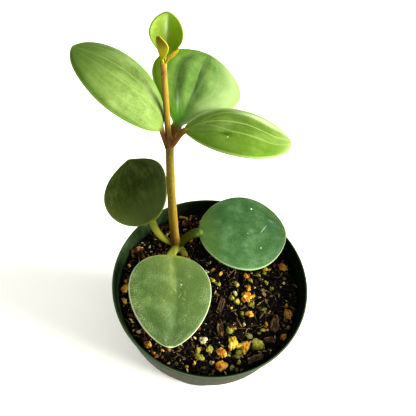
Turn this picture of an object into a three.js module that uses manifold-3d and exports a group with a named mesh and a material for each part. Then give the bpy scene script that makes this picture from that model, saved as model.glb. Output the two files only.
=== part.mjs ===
// A young peperomia in a round nursery pot, with two whorls of three leaves and a folded leaf at its tip.
// Millimetres, +Z up. The origin is the centre of the pot's underside, and -Y is the side that faces the
// viewer.
import * as THREE from "three";
import { mergeVertices } from "three/addons/utils/BufferGeometryUtils.js";
import Module from "manifold-3d";

const wasm = await Module();
wasm.setup();

// Pot: a thin moulded cup with a wider collar
const POT = {
  height: 75,
  rimRadius: 45,
  wall: 1.1,
  floor: 1.5,
  baseRadius: 30,
  baseRound: 1.2,
  bodyTop: 48.4,
  bodyTopRadius: 40.4,
  collarBottom: 49.4,
  collarBottomRadius: 41.5,
  lipDepth: 1.6,
  lipStep: 0.4,
  lipOut: 0.35,
  edge: 0.3,
  innerStep: [0.2, 0.7],
  floorCorner: 1,
  drainHoles: 8,
  drainHoleRadius: 3.2,
  drainHoleSides: 16,
  drainCircleRadius: 21,
  sides: 64,
};

// Potting mix: how full the pot is and how rough the mix lies
const MIX = {
  surface: 66.6,
  room: 0.5,
  edgeDrop: 0.6,
  edgeWidth: 1.6,
  waviness: 0.7,
  crumbHeight: 0.55,
  ringStep: 3.5,
  innermostRing: 1,
  sides: 44,
  seed: 11,
};

// Small grit and twigs that are part of the mix: how many, how large, where they lie and how high they stand
const SMALL_GRIT = {
  count: 46, radius: [0.7, 1.35], shape: [2, 1.7, 1.8], roughness: 0.3, raised: 0.25, reach: 39.5, clear: 0.5,
};
const TWIGS = {
  count: 8, length: [4, 7], thickness: 0.9, tilt: 4, raised: 0.35, reach: [12, 36], turnStep: 2.4, clear: 2.5,
};
const CLEAR_OF_STEM = 7;

// Stem: points on its axis with the radius there, from its foot in the mix to the shoot tip
const STEM = [
  { at: [-13.0, 13.6, 46], r: 1.4 },
  { at: [-13.0, 13.6, 58], r: 1.6 },
  { at: [-13.2, 13.8, 65], r: 1.65 },
  { at: [-14.8, 15.4, 68.3], r: 1.8 },
  { at: [-18.0, 17.3, 70.4], r: 2.5 },
  { at: [-18.8, 17.5, 74], r: 2.3 },
  { at: [-19.9, 17.5, 90], r: 2.05 },
  { at: [-21.0, 17.5, 118], r: 1.75 },
  { at: [-21.35, 17.5, 136], r: 1.55 },
  { at: [-21.4, 17.5, 141.4], r: 1.6 },
  { at: [-21.8, 17.5, 145.5], r: 1.15 },
  { at: [-22.5, 17.5, 160], r: 1.05 },
  { at: [-23.0, 17.5, 172], r: 0.95 },
  { at: [-23.1, 17.45, 174.3], r: 1.05 },
  { at: [-23.15, 17.4, 175.5], r: 0.8 },
];
const STEM_SIDES = 10;
const STEM_STEPS = 3;
// Room cut for the stem, a little more than the gap because the stem's sides are flat
const STEM_ROOM = 0.36;

// Leaves. base is where the blade starts; azimuth 0 points along +X and 90 along +Y; rise is the midrib's
// slope at the base; roll turns the blade about its midrib; bend is the midrib's whole turn along its length
// and cup the turn from the midrib to each edge, both upwards where positive; twist is the turn from base
// to tip. root and tip are the powers of the outline's curve: the smaller, the blunter that end. The stalk
// has a radius at the stem and at the blade, runs along the midrib for its last share arrive, and hangs by
// sag.
const LEAVES = [
  {
    name: "leaf_lower_front", color: 0x6f9263, joint: [-18.0, 16.7, 70.6], base: [-19.3, 6.2, 80],
    azimuth: -82, rise: 2, roll: 10, bend: -8, cup: -5, twist: -1,
    length: 42.3, width: 37, root: 0.4, tip: 0.66, thick: 1.7, stalk: [2.0, 1.8], arrive: 0.12, sag: 0,
  },
  {
    name: "leaf_lower_right", color: 0x5f8b66, joint: [-18.4, 17.6, 70.6], base: [-8, 20.4, 80],
    azimuth: 9.5, rise: 1.5, roll: 10, bend: -9, cup: 2, twist: -18.5,
    length: 43.6, width: 42.8, root: 0.53, tip: 0.63, thick: 1.7, stalk: [2.1, 2.0], arrive: 0.3, sag: 0,
  },
  {
    name: "leaf_lower_left", color: 0x3d4f24, joint: [-19.4, 18.0, 70.6], base: [-30.3, 20.1, 85],
    azimuth: 122, rise: 14, roll: 40, bend: -10.5, cup: 38, twist: -18.5,
    length: 36.5, width: 36.5, root: 0.57, tip: 0.75, thick: 1.7, stalk: [1.7, 1.5], arrive: 0.4, sag: 2.8,
  },
  {
    name: "leaf_upper_left", color: 0x86a955, joint: [-22.3, 17.1, 139.4], base: [-23.9, 15.5, 150.2],
    azimuth: 152, rise: 87.5, roll: -17.5, bend: -94, cup: -47, twist: -5,
    length: 41.6, width: 28.4, root: 0.66, tip: 0.56, thick: 1.4, stalk: [0.85, 0.8], arrive: 0.2, sag: 0,
  },
  {
    name: "leaf_upper_back", color: 0x6c9a58, joint: [-21.2, 18.4, 141.6], base: [-19.4, 19.6, 147.5],
    azimuth: 77.5, rise: 12.7, roll: -8.5, bend: -16.7, cup: -24, twist: -7.5,
    length: 41.2, width: 37.9, root: 1.12, tip: 0.53, thick: 1.4, stalk: [1.15, 1.1], arrive: 0.1, sag: 0,
  },
  {
    name: "leaf_upper_right", color: 0x83a850, joint: [-20.3, 17.0, 141.0], base: [-15.7, 14.1, 151.6],
    azimuth: 14.6, rise: 21.2, roll: 6.5, bend: -62.5, cup: -28.5, twist: 4,
    length: 41, width: 29.2, root: 0.66, tip: 0.63, thick: 1.4, stalk: [0.95, 0.85], arrive: 0.05, sag: 0,
  },
  {
    name: "leaf_young", color: 0x7fae22, joint: [-23.1, 18.0, 175.0], base: [-22.7, 17.82, 176.6],
    azimuth: 76, rise: 73, roll: -12, bend: 27, cup: 43, twist: -5,
    length: 13.9, width: 10.5, root: 0.94, tip: 0.74, thick: 0.9, stalk: [0.4, 0.4], arrive: 0.3, sag: 0,
  },
  {
    name: "leaf_tiny_left", color: 0x9aa52a, joint: [-23.4, 16.9, 175.0], base: [-22.9, 15.2, 176.9],
    azimuth: -124, rise: 80, roll: 0, bend: 6, cup: 40, twist: 0,
    length: 8.7, width: 5.0, root: 1.5, tip: 0.9, thick: 0.7, stalk: [0.35, 0.35], arrive: 0.3, sag: 0,
  },
  {
    name: "leaf_tiny_right", color: 0xb5a83c, joint: [-22.6, 17.2, 175.0], base: [-21.5, 16.5, 176.9],
    azimuth: -24, rise: 52, roll: 28, bend: 5, cup: 25, twist: 0,
    length: 6.0, width: 2.0, root: 0.7, tip: 1.0, thick: 0.7, stalk: [0.35, 0.35], arrive: 0.3, sag: 0,
  },
];
const RIM_THICKNESS = 0.7;
const GROOVE_SHARE = 0.147;
// Steps along the blade, and places across the half blade from the midrib to the edge, closer at the groove
const LARGE_LEAF = { steps: 14, across: [0, 0.09, 0.4, 0.75, 1], stalkSides: 8 };
const SMALL_LEAF = { steps: 8, across: [0, 0.2, 0.65, 1], stalkSides: 6 };
const SMALL_LEAF_LENGTH = 20;
// The stalk's rings, and how it fades into a rib under the blade: place along the blade and share of its
// radius
const STALK_STEPS = 7;
const STALK_START = 0.35;
const RIB = [{ u: 0.06, share: 0.85 }, { u: 0.14, share: 0.6 }, { u: 0.24, share: 0.4 }];
const RIB_DEPTH = { share: 0.55, least: 0.1 };

// Large grit granules, each with its place on the mix, its size along, across and up, and its turn
const ORANGE = 0xc98a35, AMBER = 0xd9b23c, LIME = 0x9aa748, CREAM = 0xd8cfa4, RUST = 0xa9632f;
const GRIT = [
  { at: [-0.5, -26.9], size: [3.9, 3.8, 3.4], turn: 0, color: CREAM },
  { at: [-1.2, -34.7], size: [5.2, 2.8, 2.8], turn: -20, color: LIME },
  { at: [2.7, -30.6], size: [3.6, 3.9, 3.2], turn: 20, color: LIME },
  { at: [7.7, -31.6], size: [5.6, 4.4, 4.2], turn: 25, color: ORANGE },
  { at: [12.9, -27.2], size: [4.8, 6.6, 4.8], turn: 0, color: AMBER },
  { at: [17.8, -28.2], size: [4.2, 5.6, 4.2], turn: 8, color: ORANGE },
  { at: [8.3, -37.5], size: [6.0, 5.4, 4.4], turn: 25, color: RUST },
  { at: [23.6, -26.2], size: [7.4, 4.2, 3.8], turn: -30, color: LIME },
  { at: [10.9, -21.1], size: [3.4, 3.9, 3.2], turn: 40, color: LIME },
  { at: [19.4, -12.7], size: [4.3, 3.3, 3.2], turn: 0, color: ORANGE },
  { at: [17.9, -4.3], size: [5.6, 5.4, 4.4], turn: 20, color: AMBER },
  { at: [18.2, 0.6], size: [4.2, 2.9, 3.0], turn: -48, color: ORANGE },
  { at: [35.8, 14.2], size: [6.4, 4.6, 3.8], turn: -35, color: ORANGE },
  { at: [37.3, -10.6], size: [6.2, 4.2, 3.6], turn: 75, color: RUST },
  { at: [-39.3, -7.4], size: [4.6, 3.6, 3.2], turn: 70, color: ORANGE },
  { at: [-24.2, -31.8], size: [3.8, 3.4, 3.1], turn: 0, color: RUST },
];
const GRIT_SUNK = 0.3;
const GRIT_ROUGHNESS = 0.22;
const GRIT_SEED = 100;
// A hollow's growth over its granule or chip, a little more than the gap because it is measured to its
// corners
const HOLLOW_GROWTH = { grit: 0.38, bark: 0.46 };

// Bark chips: place, length, breadth, thickness, turn about Z and tilt to the surface
const BARK = [
  { at: [6.6, -20.4], size: [9.6, 3.8, 1.9], turn: 100, tilt: 9, color: 0x5b4128 },
  { at: [6.2, -9.6], size: [7.6, 3.6, 1.8], turn: 75, tilt: -10, color: 0x4d3822 },
  { at: [31.4, -15.8], size: [10.0, 5.0, 2.0], turn: 80, tilt: 8, color: 0x66462b },
  { at: [22.7, -32.4], size: [9.4, 3.2, 1.8], turn: 33, tilt: 5, color: 0x5a4029 },
  { at: [28.6, -23.6], size: [5.6, 3.2, 1.8], turn: 20, tilt: -8, color: 0x6b4c30 },
];
const BARK_SUNK = 0.35;
const BARK_OUTLINE = [[-1, -0.5], [-0.45, -1], [0.5, -0.85], [1, -0.3], [0.85, 0.7], [0.1, 1], [-0.8, 0.75]];
const BARK_BROKEN = [0.15, 0.2];
const BARK_BEVEL = 0.35;
const BARK_SEED = 300;

const degrees = THREE.MathUtils.degToRad;
const lerp = THREE.MathUtils.lerp;
const vec = (p) => new THREE.Vector3(...p);
const UP = new THREE.Vector3(0, 0, 1);

// A repeatable row of random numbers from 0 to 1
function randomFrom(seed) {
  let state = seed >>> 0;
  return () => {
    state = (state + 0x6d2b79f5) >>> 0;
    let t = Math.imul(state ^ (state >>> 15), 1 | state);
    t = (t + Math.imul(t ^ (t >>> 7), 61 | t)) ^ t;
    return ((t ^ (t >>> 14)) >>> 0) / 4294967296;
  };
}

// Solids that can be cut and joined, and the way back to a mesh's geometry
function solid(geometry) {
  const bare = geometry.clone();
  bare.deleteAttribute("normal");
  bare.deleteAttribute("uv");
  const merged = mergeVertices(bare, 1e-4);
  return new wasm.Manifold(new wasm.Mesh({
    numProp: 3,
    vertProperties: new Float32Array(merged.attributes.position.array),
    triVerts: new Uint32Array(merged.index.array),
  }));
}

function geometryOf(manifold) {
  const mesh = manifold.getMesh();
  const geometry = new THREE.BufferGeometry();
  geometry.setAttribute("position", new THREE.BufferAttribute(new Float32Array(mesh.vertProperties), 3));
  geometry.setIndex(new THREE.BufferAttribute(new Uint32Array(mesh.triVerts), 1));
  geometry.computeVertexNormals();
  return geometry;
}

// The largest body of a cut solid
function mainBody(manifold) {
  return manifold.decompose().reduce((a, b) => (a.volume() > b.volume() ? a : b));
}

// A closed skin over a row of rings, each counter-clockwise seen from the last ring's side. The ends are
// closed by a fan round their middle.
function skin(rings) {
  const sides = rings[0].length;
  const points = rings.flat();
  const faces = [];
  for (let i = 0; i + 1 < rings.length; i++) {
    for (let j = 0; j < sides; j++) {
      const k = (j + 1) % sides;
      const [a, b, c, d] = [i * sides + j, i * sides + k, (i + 1) * sides + k, (i + 1) * sides + j];
      faces.push(a, b, c, a, c, d);
    }
  }
  for (const [ring, flip] of [[0, true], [rings.length - 1, false]]) {
    const middle = points.length;
    points.push(rings[ring].reduce((sum, p) => sum.add(p), new THREE.Vector3()).divideScalar(sides));
    for (let j = 0; j < sides; j++) {
      const a = ring * sides + j, b = ring * sides + ((j + 1) % sides);
      faces.push(...(flip ? [b, a, middle] : [a, b, middle]));
    }
  }
  const geometry = new THREE.BufferGeometry();
  geometry.setAttribute("position", new THREE.Float32BufferAttribute(points.flatMap((p) => p.toArray()), 3));
  geometry.setIndex(faces);
  return geometry;
}

// A round rod through a row of points with a radius at each, its rings carried along without twist
function rod(points, radii, sides) {
  let across = null;
  const rings = points.map((point, i) => {
    const along = points[Math.min(i + 1, points.length - 1)].clone()
      .sub(points[Math.max(i - 1, 0)]).normalize();
    if (!across) {
      const helper = Math.abs(along.x) < 0.8 ? new THREE.Vector3(1, 0, 0) : new THREE.Vector3(0, 1, 0);
      across = helper.cross(along).normalize();
    }
    across.addScaledVector(along, -across.dot(along)).normalize();
    const other = along.clone().cross(across);
    return Array.from({ length: sides }, (_, j) => {
      const turn = (2 * Math.PI * j) / sides;
      return point.clone()
        .addScaledVector(across, radii[i] * Math.cos(turn))
        .addScaledVector(other, radii[i] * Math.sin(turn));
    });
  });
  return skin(rings);
}

// Pot: a lathed cup, its underside flat and solid in the middle, with a ring of drain holes
function potWallProfile() {
  const p = POT;
  return {
    outer: [
      [p.baseRadius - p.baseRound, 0],
      [p.baseRadius, p.baseRound],
      [p.bodyTopRadius, p.bodyTop],
      [p.collarBottomRadius, p.collarBottom],
      [p.rimRadius - p.lipOut, p.height - p.lipDepth],
      [p.rimRadius, p.height - p.lipDepth + p.lipStep],
      [p.rimRadius, p.height - p.edge],
      [p.rimRadius - p.edge, p.height],
    ],
    inner: [
      [p.rimRadius - p.wall, p.height],
      [p.rimRadius - p.wall - p.edge, p.height - p.edge],
      [p.collarBottomRadius - p.wall, p.collarBottom + p.innerStep[1]],
      [p.bodyTopRadius - p.wall, p.bodyTop + p.innerStep[0]],
      [p.baseRadius - p.wall, p.floor + p.floorCorner],
      [p.baseRadius - p.wall - p.floorCorner, p.floor],
    ],
  };
}

function makePot() {
  const { outer, inner } = potWallProfile();
  const profile = [[0, 0], ...outer, ...inner, [0, POT.floor]].map(([r, z]) => new THREE.Vector2(r, z));
  const cup = new THREE.LatheGeometry(profile, POT.sides);
  cup.rotateX(Math.PI / 2);
  let pot = solid(cup);
  for (let i = 0; i < POT.drainHoles; i++) {
    const turn = (2 * Math.PI * (i + 0.5)) / POT.drainHoles;
    const drill = new THREE.CylinderGeometry(
      POT.drainHoleRadius, POT.drainHoleRadius, 4 * POT.floor, POT.drainHoleSides);
    drill.rotateX(Math.PI / 2);
    drill.translate(POT.drainCircleRadius * Math.cos(turn), POT.drainCircleRadius * Math.sin(turn), 0);
    pot = pot.subtract(solid(drill));
  }
  return pot;
}

// Height of the mix before its crumbs are raised on it
function mixHeight(x, y) {
  return MIX.surface + MIX.waviness * (
    0.5 * Math.sin(0.19 * x + 0.8) * Math.cos(0.16 * y - 0.4) +
    0.3 * Math.sin(0.41 * x - 0.33 * y + 1.7) +
    0.2 * Math.cos(0.37 * x + 0.52 * y)
  );
}

// Potting mix: a plug of the pot's inner shape with a rough top
function mixPlug(random) {
  const { inner } = potWallProfile();
  const { room } = MIX;
  const wallTop = inner[1], collar = inner[2];
  const slope = (wallTop[0] - collar[0]) / (wallTop[1] - collar[1]);
  const topRadius = collar[0] + slope * (MIX.surface - collar[1]) - room;
  const ring = (radius, height) => Array.from({ length: MIX.sides }, (_, j) => {
    const turn = (2 * Math.PI * j) / MIX.sides;
    const x = radius * Math.cos(turn), y = radius * Math.sin(turn);
    return new THREE.Vector3(x, y, typeof height === "function" ? height(x, y) : height);
  });
  const rings = [
    ring(inner[5][0] - room, POT.floor + room),
    ring(inner[4][0] - room, inner[4][1] + room),
    ring(inner[3][0] - room, inner[3][1]),
    ring(collar[0] - room, collar[1] + room / 2),
  ];
  rings.push(ring(topRadius, (x, y) => mixHeight(x, y) - MIX.edgeDrop));
  for (let radius = topRadius - MIX.edgeWidth; radius > MIX.innermostRing; radius -= MIX.ringStep) {
    rings.push(ring(radius, (x, y) => mixHeight(x, y) + MIX.crumbHeight * (2 * random() - 1)));
  }
  return skin(rings);
}

// One rough pebble, a ball pushed in and out at its corners and squashed to its size
function pebble(size, detail, roughness, random) {
  const ball = new THREE.IcosahedronGeometry(1, detail);
  ball.deleteAttribute("normal");
  ball.deleteAttribute("uv");
  const geometry = mergeVertices(ball, 1e-3);
  const at = geometry.attributes.position;
  for (let i = 0; i < at.count; i++) {
    const push = 1 + roughness * (random() - 0.6);
    at.setXYZ(i, at.getX(i) * push, at.getY(i) * push, at.getZ(i) * push);
  }
  geometry.scale(size[0] / 2, size[1] / 2, size[2] / 2);
  return geometry;
}

// Whether a place on the mix is free of the stem and of every piece that has a name of its own
function isClear(x, y, margin) {
  const foot = STEM[2].at;
  if (Math.hypot(x - foot[0], y - foot[1]) < CLEAR_OF_STEM + margin) return false;
  return [...GRIT, ...BARK].every(({ at, size }) =>
    Math.hypot(x - at[0], y - at[1]) > Math.max(size[0], size[1]) / 2 + margin);
}

function smallGritLumps(random) {
  const { count, radius, shape, roughness, raised, reach, clear } = SMALL_GRIT;
  const lumps = [];
  while (lumps.length < count) {
    const turn = 2 * Math.PI * random();
    const out = reach * Math.sqrt(random());
    const [x, y] = [out * Math.cos(turn), out * Math.sin(turn)];
    const r = lerp(...radius, random());
    if (!isClear(x, y, r + clear)) continue;
    const lump = pebble(shape.map((part) => part * r), 0, roughness, random);
    lump.rotateZ(3 * turn);
    lump.translate(x, y, mixHeight(x, y) + raised * r);
    lumps.push(solid(lump));
  }
  return lumps;
}

function twigLumps(random) {
  const { count, length, thickness, tilt, raised, reach, turnStep, clear } = TWIGS;
  const lumps = [];
  for (let turn = 0; lumps.length < count; turn += turnStep) {
    const out = lerp(...reach, random());
    const [x, y] = [out * Math.cos(turn), out * Math.sin(turn)];
    if (!isClear(x, y, clear)) continue;
    const twig = new THREE.BoxGeometry(lerp(...length, random()), thickness, thickness);
    twig.rotateY(degrees(tilt * (2 * random() - 1)));
    twig.rotateZ(2 * Math.PI * random());
    twig.translate(x, y, mixHeight(x, y) + raised);
    lumps.push(solid(twig));
  }
  return lumps;
}

function makePottingMix(hollows) {
  const random = randomFrom(MIX.seed);
  let mix = solid(mixPlug(random));
  for (const lump of [...smallGritLumps(random), ...twigLumps(random)]) mix = mix.add(lump);
  for (const hollow of hollows) mix = mix.subtract(hollow);
  return mainBody(mix);
}

// Grit granule, and the same shape a gap larger for the hollow that it lies in
function granule(item, index, grow) {
  const size = item.size.map((s) => s + 2 * grow);
  const geometry = pebble(size, 1, GRIT_ROUGHNESS, randomFrom(GRIT_SEED + index));
  geometry.rotateZ(degrees(item.turn));
  const [x, y] = item.at;
  geometry.translate(x, y, mixHeight(x, y) + item.size[2] * (0.5 - GRIT_SUNK));
  return solid(geometry);
}

// Bark chip: a flat flake with an irregular outline and broken corners
function barkChip(item, index, grow) {
  const random = randomFrom(BARK_SEED + index);
  const [length, breadth, thickness] = item.size;
  const outline = new THREE.Shape(BARK_OUTLINE.map(([u, v]) => new THREE.Vector2(
    u * (length / 2) * (1 - BARK_BROKEN[0] * random()) + Math.sign(u) * grow,
    v * (breadth / 2) * (1 - BARK_BROKEN[1] * random()) + Math.sign(v) * grow,
  )));
  const geometry = new THREE.ExtrudeGeometry(outline, {
    depth: thickness - 2 * BARK_BEVEL + 2 * grow, steps: 1, bevelSegments: 1,
    bevelThickness: BARK_BEVEL, bevelSize: BARK_BEVEL, bevelOffset: -BARK_BEVEL,
  });
  geometry.translate(0, 0, -(thickness / 2 - BARK_BEVEL + grow));
  geometry.rotateY(degrees(item.tilt));
  geometry.rotateZ(degrees(item.turn));
  const [x, y] = item.at;
  geometry.translate(x, y, mixHeight(x, y) + thickness * (0.5 - BARK_SUNK));
  return solid(geometry);
}

// Stem: a smooth rod through its points, swollen at its joints
function makeStem(grow) {
  const axis = new THREE.CatmullRomCurve3(STEM.map(({ at }) => vec(at)), false, "centripetal");
  const points = [], radii = [];
  for (let i = 0; i < STEM.length - 1; i++) {
    const last = i === STEM.length - 2;
    for (let step = 0; step < STEM_STEPS + (last ? 1 : 0); step++) {
      const share = step / STEM_STEPS;
      points.push(axis.getPoint((i + share) / (STEM.length - 1)));
      radii.push(THREE.MathUtils.smoothstep(share, 0, 1) * (STEM[i + 1].r - STEM[i].r) + STEM[i].r + grow);
    }
  }
  if (grow) {
    points.unshift(points[0].clone().addScaledVector(UP, -grow));
    points.push(points.at(-1).clone().addScaledVector(UP, grow));
    radii.unshift(radii[0]);
    radii.push(radii.at(-1));
  }
  return solid(rod(points, radii, STEM_SIDES));
}

// Frame of a leaf at its base: along the midrib, out of the upper face, and across to the left edge
function leafFrame(leaf) {
  const azimuth = degrees(leaf.azimuth), rise = degrees(leaf.rise), roll = degrees(leaf.roll);
  const along = new THREE.Vector3(
    Math.cos(rise) * Math.cos(azimuth), Math.cos(rise) * Math.sin(azimuth), Math.sin(rise));
  const level = UP.clone().addScaledVector(along, -along.z).normalize();
  const side = level.clone().cross(along);
  const up = level.multiplyScalar(Math.cos(roll)).addScaledVector(side, Math.sin(roll));
  return { along, up, across: up.clone().cross(along) };
}

// Point of the blade's middle surface and the normal there. u runs from base to tip, s from -1 to 1 across.
function leafPoint(leaf, u, s) {
  const { along, up, across } = leafFrame(leaf);
  const bend = degrees(leaf.bend) / leaf.length;
  const angle = bend * leaf.length * u;
  const middle = vec(leaf.base)
    .addScaledVector(along, Math.sin(angle) / bend)
    .addScaledVector(up, (1 - Math.cos(angle)) / bend);
  const upHere = up.clone().multiplyScalar(Math.cos(angle)).addScaledVector(along, -Math.sin(angle));
  const twist = degrees(leaf.twist) * u;
  const normal = upHere.clone().multiplyScalar(Math.cos(twist)).addScaledVector(across, Math.sin(twist));
  const sideways = across.clone().multiplyScalar(Math.cos(twist)).addScaledVector(upHere, -Math.sin(twist));
  const widest = leaf.root / (leaf.root + leaf.tip);
  const peak = widest ** leaf.root * (1 - widest) ** leaf.tip;
  const half = (leaf.width / 2) * (u ** leaf.root * (1 - u) ** leaf.tip) / peak;
  const curl = degrees(leaf.cup) / (leaf.width / 2);
  const round = curl * half * s;
  return {
    at: middle
      .addScaledVector(sideways, Math.sin(round) / curl)
      .addScaledVector(normal, (1 - Math.cos(round)) / curl),
    normal: normal.clone().multiplyScalar(Math.cos(round)).addScaledVector(sideways, -Math.sin(round)),
  };
}

function fineness(leaf) {
  return leaf.length < SMALL_LEAF_LENGTH ? SMALL_LEAF : LARGE_LEAF;
}

// Blade: a thick lens with a rounded rim, a shallow groove along the midrib and a rib under it
function leafBlade(leaf) {
  const { steps, across: half } = fineness(leaf);
  const across = [...half.slice(1).reverse().map((s) => -s), ...half];
  const columns = across.length;
  const points = [], faces = [];
  const put = (u, s) => {
    const { at, normal } = leafPoint(leaf, u, s);
    const swell = Math.sqrt(Math.max(0, 1 - s * s)) * Math.min(1, 4 * u * (1 - u) + 0.1);
    const halfThick = (RIM_THICKNESS + (leaf.thick - RIM_THICKNESS) * swell) / 2;
    const groove = s === 0 ? GROOVE_SHARE * leaf.thick * Math.sin(Math.PI * u) : 0;
    const start = points.length;
    points.push(at.clone().addScaledVector(normal, halfThick - groove));
    points.push(at.clone().addScaledVector(normal, -halfThick - groove));
    return start;
  };
  const rows = [];
  for (let i = 0; i <= steps; i++) {
    const u = (1 - Math.cos((Math.PI * i) / steps)) / 2;
    const pointed = i === 0 || i === steps;
    if (pointed) {
      const only = put(u, 0);
      rows.push(new Array(columns).fill(only));
    } else {
      rows.push(across.map((s) => put(u, s)));
    }
  }
  const triangle = (a, b, c) => {
    if (a !== b && b !== c && a !== c) faces.push(a, b, c);
  };
  for (let i = 0; i < steps; i++) {
    const [near, far] = [rows[i], rows[i + 1]];
    for (let j = 0; j + 1 < columns; j++) {
      triangle(near[j], far[j], far[j + 1]);
      triangle(near[j], far[j + 1], near[j + 1]);
      triangle(near[j] + 1, far[j + 1] + 1, far[j] + 1);
      triangle(near[j] + 1, near[j + 1] + 1, far[j + 1] + 1);
    }
    const last = columns - 1;
    triangle(near[0], near[0] + 1, far[0] + 1);
    triangle(near[0], far[0] + 1, far[0]);
    triangle(near[last], far[last] + 1, near[last] + 1);
    triangle(near[last], far[last], far[last] + 1);
  }
  const geometry = new THREE.BufferGeometry();
  geometry.setAttribute("position", new THREE.Float32BufferAttribute(points.flatMap((p) => p.toArray()), 3));
  geometry.setIndex(faces);
  return solid(geometry);
}

// Stalk: from the stem's joint to the blade's base, then fading into the rib under the blade
function leafStalk(leaf) {
  const { along } = leafFrame(leaf);
  const from = vec(leaf.joint), to = vec(leaf.base);
  const reach = from.distanceTo(to);
  const bow = new THREE.CubicBezierCurve3(
    from,
    from.clone().lerp(to, STALK_START).addScaledVector(UP, -leaf.sag),
    to.clone().addScaledVector(along, -leaf.arrive * reach).addScaledVector(UP, -leaf.sag),
    to,
  );
  const points = [], radii = [];
  for (let i = 0; i <= STALK_STEPS; i++) {
    points.push(bow.getPoint(i / STALK_STEPS));
    radii.push(lerp(...leaf.stalk, i / STALK_STEPS));
  }
  for (const { u, share } of RIB) {
    const { at, normal } = leafPoint(leaf, u, 0);
    const radius = leaf.stalk[1] * share;
    points.push(at.addScaledVector(normal, -RIB_DEPTH.share * radius - RIB_DEPTH.least));
    radii.push(radius);
  }
  return solid(rod(points, radii, fineness(leaf).stalkSides));
}

function makeLeaf(leaf, stemWithRoom) {
  return mainBody(leafBlade(leaf).add(leafStalk(leaf)).subtract(stemWithRoom));
}

// The whole plant, mix and pot
const plant = new THREE.Group();

function place(name, manifold, color, roughness) {
  const material = new THREE.MeshStandardMaterial({ color, roughness, metalness: 0 });
  const mesh = new THREE.Mesh(geometryOf(manifold), material);
  mesh.name = name;
  plant.add(mesh);
}

const stemWithRoom = makeStem(STEM_ROOM);
const numbered = (kind, index) => `${kind}_${String(index + 1).padStart(2, "0")}`;
const hollows = [
  stemWithRoom,
  ...GRIT.map((item, index) => granule(item, index, HOLLOW_GROWTH.grit)),
  ...BARK.map((item, index) => barkChip(item, index, HOLLOW_GROWTH.bark)),
];

place("pot", makePot(), 0x35493a, 0.55);
place("potting_mix", makePottingMix(hollows), 0x2b2119, 0.95);
GRIT.forEach((item, index) => place(numbered("grit", index), granule(item, index, 0), item.color, 0.8));
BARK.forEach((item, index) => place(numbered("bark", index), barkChip(item, index, 0), item.color, 0.9));
place("stem", makeStem(0), 0x9c8a4c, 0.5);
for (const leaf of LEAVES) place(leaf.name, makeLeaf(leaf, stemWithRoom), leaf.color, 0.4);

export default plant;
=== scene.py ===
# A young peperomia in a round nursery pot: finer pieces, materials, floor, light and camera round the frame.
import math
import random
from types import SimpleNamespace as Sizes

import bmesh
import bpy
import numpy as np
from mathutils import Matrix, Vector, noise


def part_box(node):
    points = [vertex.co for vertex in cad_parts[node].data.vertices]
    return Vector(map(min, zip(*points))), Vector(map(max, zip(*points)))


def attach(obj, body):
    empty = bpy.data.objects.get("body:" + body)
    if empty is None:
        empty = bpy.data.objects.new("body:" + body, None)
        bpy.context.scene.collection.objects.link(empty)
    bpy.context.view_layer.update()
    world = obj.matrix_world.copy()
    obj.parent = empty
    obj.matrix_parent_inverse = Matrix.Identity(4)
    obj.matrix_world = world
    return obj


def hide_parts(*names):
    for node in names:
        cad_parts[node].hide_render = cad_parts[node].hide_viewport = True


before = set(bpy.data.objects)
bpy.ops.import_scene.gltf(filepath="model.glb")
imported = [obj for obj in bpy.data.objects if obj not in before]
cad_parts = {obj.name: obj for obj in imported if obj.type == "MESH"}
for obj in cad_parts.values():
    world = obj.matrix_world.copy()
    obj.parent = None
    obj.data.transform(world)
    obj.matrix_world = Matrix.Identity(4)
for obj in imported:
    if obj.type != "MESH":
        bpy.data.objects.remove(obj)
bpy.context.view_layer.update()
scene = bpy.context.scene
MM = 0.001
FULL_TURN = 2 * math.pi
SOFT = "SMOOTHSTEP"


# Helpers for colours, nodes, meshes and pieces

def colour(hex_code):
    """A colour written as sRGB hex, as the linear colour that a node wants."""
    parts = [int(hex_code[i:i + 2], 16) / 255 for i in (1, 3, 5)]
    return tuple(c / 12.92 if c <= 0.04045 else ((c + 0.055) / 1.055) ** 2.4 for c in parts) + (1.0,)


def per(size):
    """Scale of a pattern whose grains are this many millimetres wide."""
    return 1 / (size * MM)


def give(tree, socket, value):
    """Fills a socket. A node links its first output in use, and a hex code is a colour."""
    if isinstance(value, bpy.types.Node):
        value = next(output for output in value.outputs if output.enabled)
    if isinstance(value, bpy.types.NodeSocket):
        tree.links.new(value, socket)
    else:
        socket.default_value = colour(value) if str(value).startswith("#") else value


def add(tree, kind, *inputs, stops=(), **named):
    """Adds a node. Inputs come in order or by name, and settings by their names in small letters."""
    made = tree.nodes.new(kind if "Node" in kind else "ShaderNode" + kind)
    for name in [name for name in named if name[0].islower()]:
        setattr(made, name, named.pop(name))
    for _ in stops[2:]:
        made.color_ramp.elements.new(0.5)
    for element, (place, tone) in zip(made.color_ramp.elements if stops else (), stops):
        element.position, element.color = place, colour(tone)
    in_use = [socket for socket in made.inputs if socket.enabled]
    by_name = {socket.name.replace(" ", "_"): socket for socket in in_use}
    for socket, value in [*zip(in_use, inputs), *((by_name[name], value) for name, value in named.items())]:
        give(tree, socket, value)
    return made


def layered(tree, body, *layers):
    """Tones laid over a colour in turn. Each has its pattern, the values at which that starts and is full,
    its strength and its tone, and SOFT where it comes in softly."""
    for pattern, start, full, strength, tone, *way in layers:
        share = add(tree, "MapRange", pattern, start, full, 0.0, strength,
                    interpolation_type=way[0] if way else "LINEAR")
        body = add(tree, "Mix", share, body, tone, data_type="RGBA")
    return body


def new_material(name, **surface):
    """A material and its node tree, with constants set on the shader's own sockets."""
    made = bpy.data.materials.new(name)
    made.use_nodes = True
    tree = made.node_tree
    for key, value in surface.items():
        give(tree, tree.nodes["Principled BSDF"].inputs[key.replace("_", " ")], value)
    return made, tree


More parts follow.
